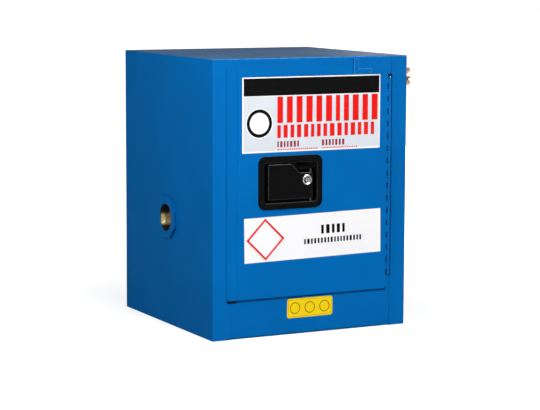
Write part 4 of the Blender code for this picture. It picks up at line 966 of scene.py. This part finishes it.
class CABINET_OT_stickers(bpy.types.Operator):
    """Lay the two stickers on the door and the small one on the sill, with plain generic print"""

    bl_idname = "cabinet.stickers"
    bl_label = "Lay the stickers"

    def execute(self, context):
        settings = context.scene.cabinet_stickers
        inks = {
            "white": vinyl("vinyl_white", (0.98, 0.97, 0.98)),
            "grey": vinyl("vinyl_pale_grey", (0.71, 0.75, 0.8)),
            "black": vinyl("ink_black", (0.0035, 0.0035, 0.0037), rough=0.32),
            "red": vinyl("ink_red", settings.red),
            "dark_red": vinyl("ink_dark_red", (0.3, 0.02, 0.04)),
            "yellow": vinyl("vinyl_yellow", settings.yellow),
            "orange": vinyl("ink_orange", (0.62, 0.25, 0.01)),
        }
        lay_upper(settings, inks)
        lay_lower(settings, inks)
        lay_sill(settings, inks)
        return {"FINISHED"}


def on_front(x, z):
    """A spot on the front, in metres, from its place in mm."""
    return LEFT_EDGE + x * MM, z * MM


def area(left, right, low, high):
    """A printed area's sides, in metres, from their places in mm."""
    x0, z0 = on_front(left, low)
    x1, z1 = on_front(right, high)
    return x0, x1, z0, z1


def print_rows(work, rows, back, seed, ink_numbers):
    """Rows of plain upright blocks of uneven width, which cover a given share of each row's length."""
    rng = random.Random(seed)
    for left, right, low, high, count, cover_share, ink in rows:
        x0, x1, z0, z1 = area(left, right, low, high)
        shares = [rng.uniform(*BLOCK_SPREAD) for _ in range(count)]
        room = (x1 - x0) * cover_share / sum(shares)
        gap = (x1 - x0) * (1 - cover_share) / (count - 1)
        start = x0
        for share in shares:
            end = start + share * room
            add_card(work, start, end, z0, z1, back, INK, BLOCK_CORNER, ink_numbers[ink])
            start = end + gap


def numbered(*names):
    """The place of each ink in a sticker's list of materials."""
    return {name: number for number, name in enumerate(names)}


def lay_upper(settings, inks):
    """A pale sticker with a bare black band, a ring, and rows of red blocks."""
    work = bmesh.new()
    ink = numbered("white", "grey", "black", "red", "dark_red")
    face = DOOR_LOW.y - settings.thickness
    add_card(work, *area(*UPPER_CARD), DOOR_LOW.y, settings.thickness, settings.corner, ink["white"])
    add_card(work, *area(*UPPER_PANEL), face, INK, PRINT_CORNER, ink["grey"])
    add_card(work, *area(*UPPER_BAND), face, INK, PRINT_CORNER, ink["black"])
    face -= INK
    centre = on_front(*CIRCLE_AT)
    add_ring(work, centre, face, INK, (0, CIRCLE_GROUND), TURN_STEPS, ink["white"])
    add_ring(work, centre, face - INK, INK, CIRCLE_LINE, TURN_STEPS, ink["black"])
    print_rows(work, UPPER_ROWS, face, UPPER_SEED, ink)
    add_piece("sticker_upper", work, [inks[name] for name in ink], "door")


def lay_lower(settings, inks):
    """A white sticker with an empty red diamond and black blocks, laid a little askew."""
    work = bmesh.new()
    ink = numbered("white", "black", "red")
    face = DOOR_LOW.y - settings.thickness
    left, right, low, high = area(*LOWER_CARD)
    add_card(work, left, right, low, high, DOOR_LOW.y, settings.thickness, settings.corner, ink["white"])
    add_ring(work, on_front(*DIAMOND_AT), face, INK, DIAMOND_LINE, DIAMOND_STEPS, ink["red"])
    print_rows(work, LOWER_ROWS, face, LOWER_SEED, ink)
    pivot = (left, DOOR_LOW.y, (low + high) / 2)
    bmesh.ops.rotate(work, verts=work.verts, cent=pivot, matrix=Matrix.Rotation(LOWER_TILT, 3, "Y"))
    add_piece("sticker_lower", work, [inks[name] for name in ink], "door")


def lay_sill(settings, inks):
    """The small yellow sticker with an orange line round it and three empty circles."""
    work = bmesh.new()
    ink = numbered("yellow", "black", "orange")
    face = SILL_LOW.y - settings.thickness
    card_corner, border_corner, ground_corner = SILL_CORNERS
    add_card(work, *area(*SILL_CARD), SILL_LOW.y, settings.thickness, card_corner, ink["yellow"])
    add_card(work, *area(*SILL_BORDER), face, INK, border_corner, ink["orange"])
    add_card(work, *area(*SILL_GROUND), face, 2 * INK, ground_corner, ink["yellow"])
    for spot in SILL_CIRCLES_AT:
        add_ring(work, on_front(*spot), face, 3 * INK, SILL_CIRCLE_LINE, SILL_CIRCLE_STEPS, ink["black"])
    add_piece("sticker_sill", work, [inks[name] for name in ink], "cabinet")


class CABINET_OT_stage(bpy.types.Operator):
    """Set the camera, the lamps, the sky and the floor"""

    bl_idname = "cabinet.stage"
    bl_label = "Set the stage"

    def execute(self, context):
        settings = context.scene.cabinet_stage
        scene = context.scene
        set_camera(scene, settings)
        set_sky(scene, settings)
        add_lamp("key_lamp", settings.key_power)
        add_lamp("fill_lamp", settings.fill_power)
        add_lamp("side_lamp", settings.side_power)
        add_lamp("back_lamp", settings.back_power)
        glint = add_lamp("glint_lamp", settings.glint_power)
        glint.visible_diffuse = False
        add_floor(settings)
        scene.view_settings.view_transform = "Standard"
        return {"FINISHED"}


def set_camera(scene, settings):
    """The camera at the photo's viewing angle, turned by its yaw, its pitch and its roll."""
    level = math.cos(CAMERA_PITCH)
    ahead = Vector((math.sin(CAMERA_YAW) * level, math.cos(CAMERA_YAW) * level, -math.sin(CAMERA_PITCH)))
    right = Vector((math.cos(CAMERA_YAW), -math.sin(CAMERA_YAW), 0))
    up = right.cross(ahead)
    cos_roll, sin_roll = math.cos(CAMERA_ROLL), math.sin(CAMERA_ROLL)
    right, up = cos_roll * right + sin_roll * up, cos_roll * up - sin_roll * right
    data = bpy.data.cameras.new("photo_camera")
    data.sensor_fit = "HORIZONTAL"
    data.sensor_width = SENSOR_MM
    data.lens = settings.lens
    camera = bpy.data.objects.new("photo_camera", data)
    turn = Matrix((right, up, -ahead)).transposed().to_4x4()
    camera.matrix_world = Matrix.Translation(CAMERA_AT) @ turn
    scene.collection.objects.link(camera)
    scene.camera = camera


def set_sky(scene, settings):
    """A sky that gives faint light from all round and is seen white."""
    world = bpy.data.worlds.new("studio_sky")
    world.use_nodes = True
    tree = world.node_tree
    background = tree.nodes["Background"]
    background.inputs["Color"].default_value = WHITE
    strength = spread(tree, seen_share(tree), 0.0, 1.0, settings.sky, 1.0)
    tree.links.new(strength, background.inputs["Strength"])
    scene.world = world


def add_lamp(name, power):
    """A soft rectangular lamp that looks at the cabinet's middle."""
    where, size = LAMPS[name]
    data = bpy.data.lights.new(name, "AREA")
    data.shape = "RECTANGLE"
    data.size, data.size_y = size
    data.energy = power
    lamp = bpy.data.objects.new(name, data)
    lamp.location = where
    lamp.visible_camera = False
    lamp.rotation_euler = (LAMP_AIM - Vector(where)).to_track_quat("-Z", "Y").to_euler()
    bpy.context.scene.collection.objects.link(lamp)
    return lamp


def add_floor(settings):
    """A pale floor that keeps a soft shadow near the cabinet and is seen white further off."""
    work = bmesh.new()
    bmesh.ops.create_grid(work, x_segments=1, y_segments=1, size=FLOOR_REACH)
    mesh = bpy.data.meshes.new("floor")
    work.to_mesh(mesh)
    work.free()
    floor = bpy.data.objects.new("floor", mesh)
    floor.location.z = -FLOOR_DROP
    bpy.context.scene.collection.objects.link(floor)
    grey = (settings.floor_grey,) * 3
    material, tree, shader = new_material("floor", grey, roughness=0.9, specular=0.0)
    shader.inputs["Emission Color"].default_value = WHITE
    reach = add_node(tree, "ShaderNodeVectorMath", {0: place(tree)}, operation="LENGTH").outputs["Value"]
    glow = spread(tree, reach, *FLOOR_FADE, *FLOOR_GLOW)
    shown = arithmetic(tree, "MULTIPLY", seen_share(tree), glow)
    tree.links.new(shown, shader.inputs["Emission Strength"])
    mesh.materials.append(material)


class CABINET_PT_panel(bpy.types.Panel):
    """Lists the cabinet's settings and steps"""

    bl_label = "Safety cabinet"
    bl_idname = "CABINET_PT_panel"
    bl_space_type = "VIEW_3D"
    bl_region_type = "UI"
    bl_category = "Safety cabinet"

    def draw(self, context):
        for group in SETTINGS:
            box = self.layout.box()
            settings = getattr(context.scene, group)
            for key in settings.bl_rna.properties.keys():
                if key not in ("rna_type", "name"):
                    box.prop(settings, key)
        for step in STEPS:
            self.layout.operator(step.bl_idname)


SETTINGS = {
    "cabinet_paint": PaintSettings,
    "cabinet_handle": HandleSettings,
    "cabinet_stickers": StickerSettings,
    "cabinet_stage": StageSettings,
}
STEPS = (CABINET_OT_stage, CABINET_OT_paint, CABINET_OT_handle, CABINET_OT_metals, CABINET_OT_stickers)


def register():
    for cls in (*SETTINGS.values(), *STEPS, CABINET_PT_panel):
        bpy.utils.register_class(cls)
    for name, group in SETTINGS.items():
        setattr(bpy.types.Scene, name, PointerProperty(type=group))


def unregister():
    for name in SETTINGS:
        delattr(bpy.types.Scene, name)
    for cls in (CABINET_PT_panel, *reversed(STEPS), *reversed(SETTINGS.values())):
        bpy.utils.unregister_class(cls)


def main():
    register()
    bpy.ops.cabinet.stage()
    bpy.ops.cabinet.paint()
    bpy.ops.cabinet.handle()
    bpy.ops.cabinet.metals()
    bpy.ops.cabinet.stickers()


if __name__ == "__main__":
    main()
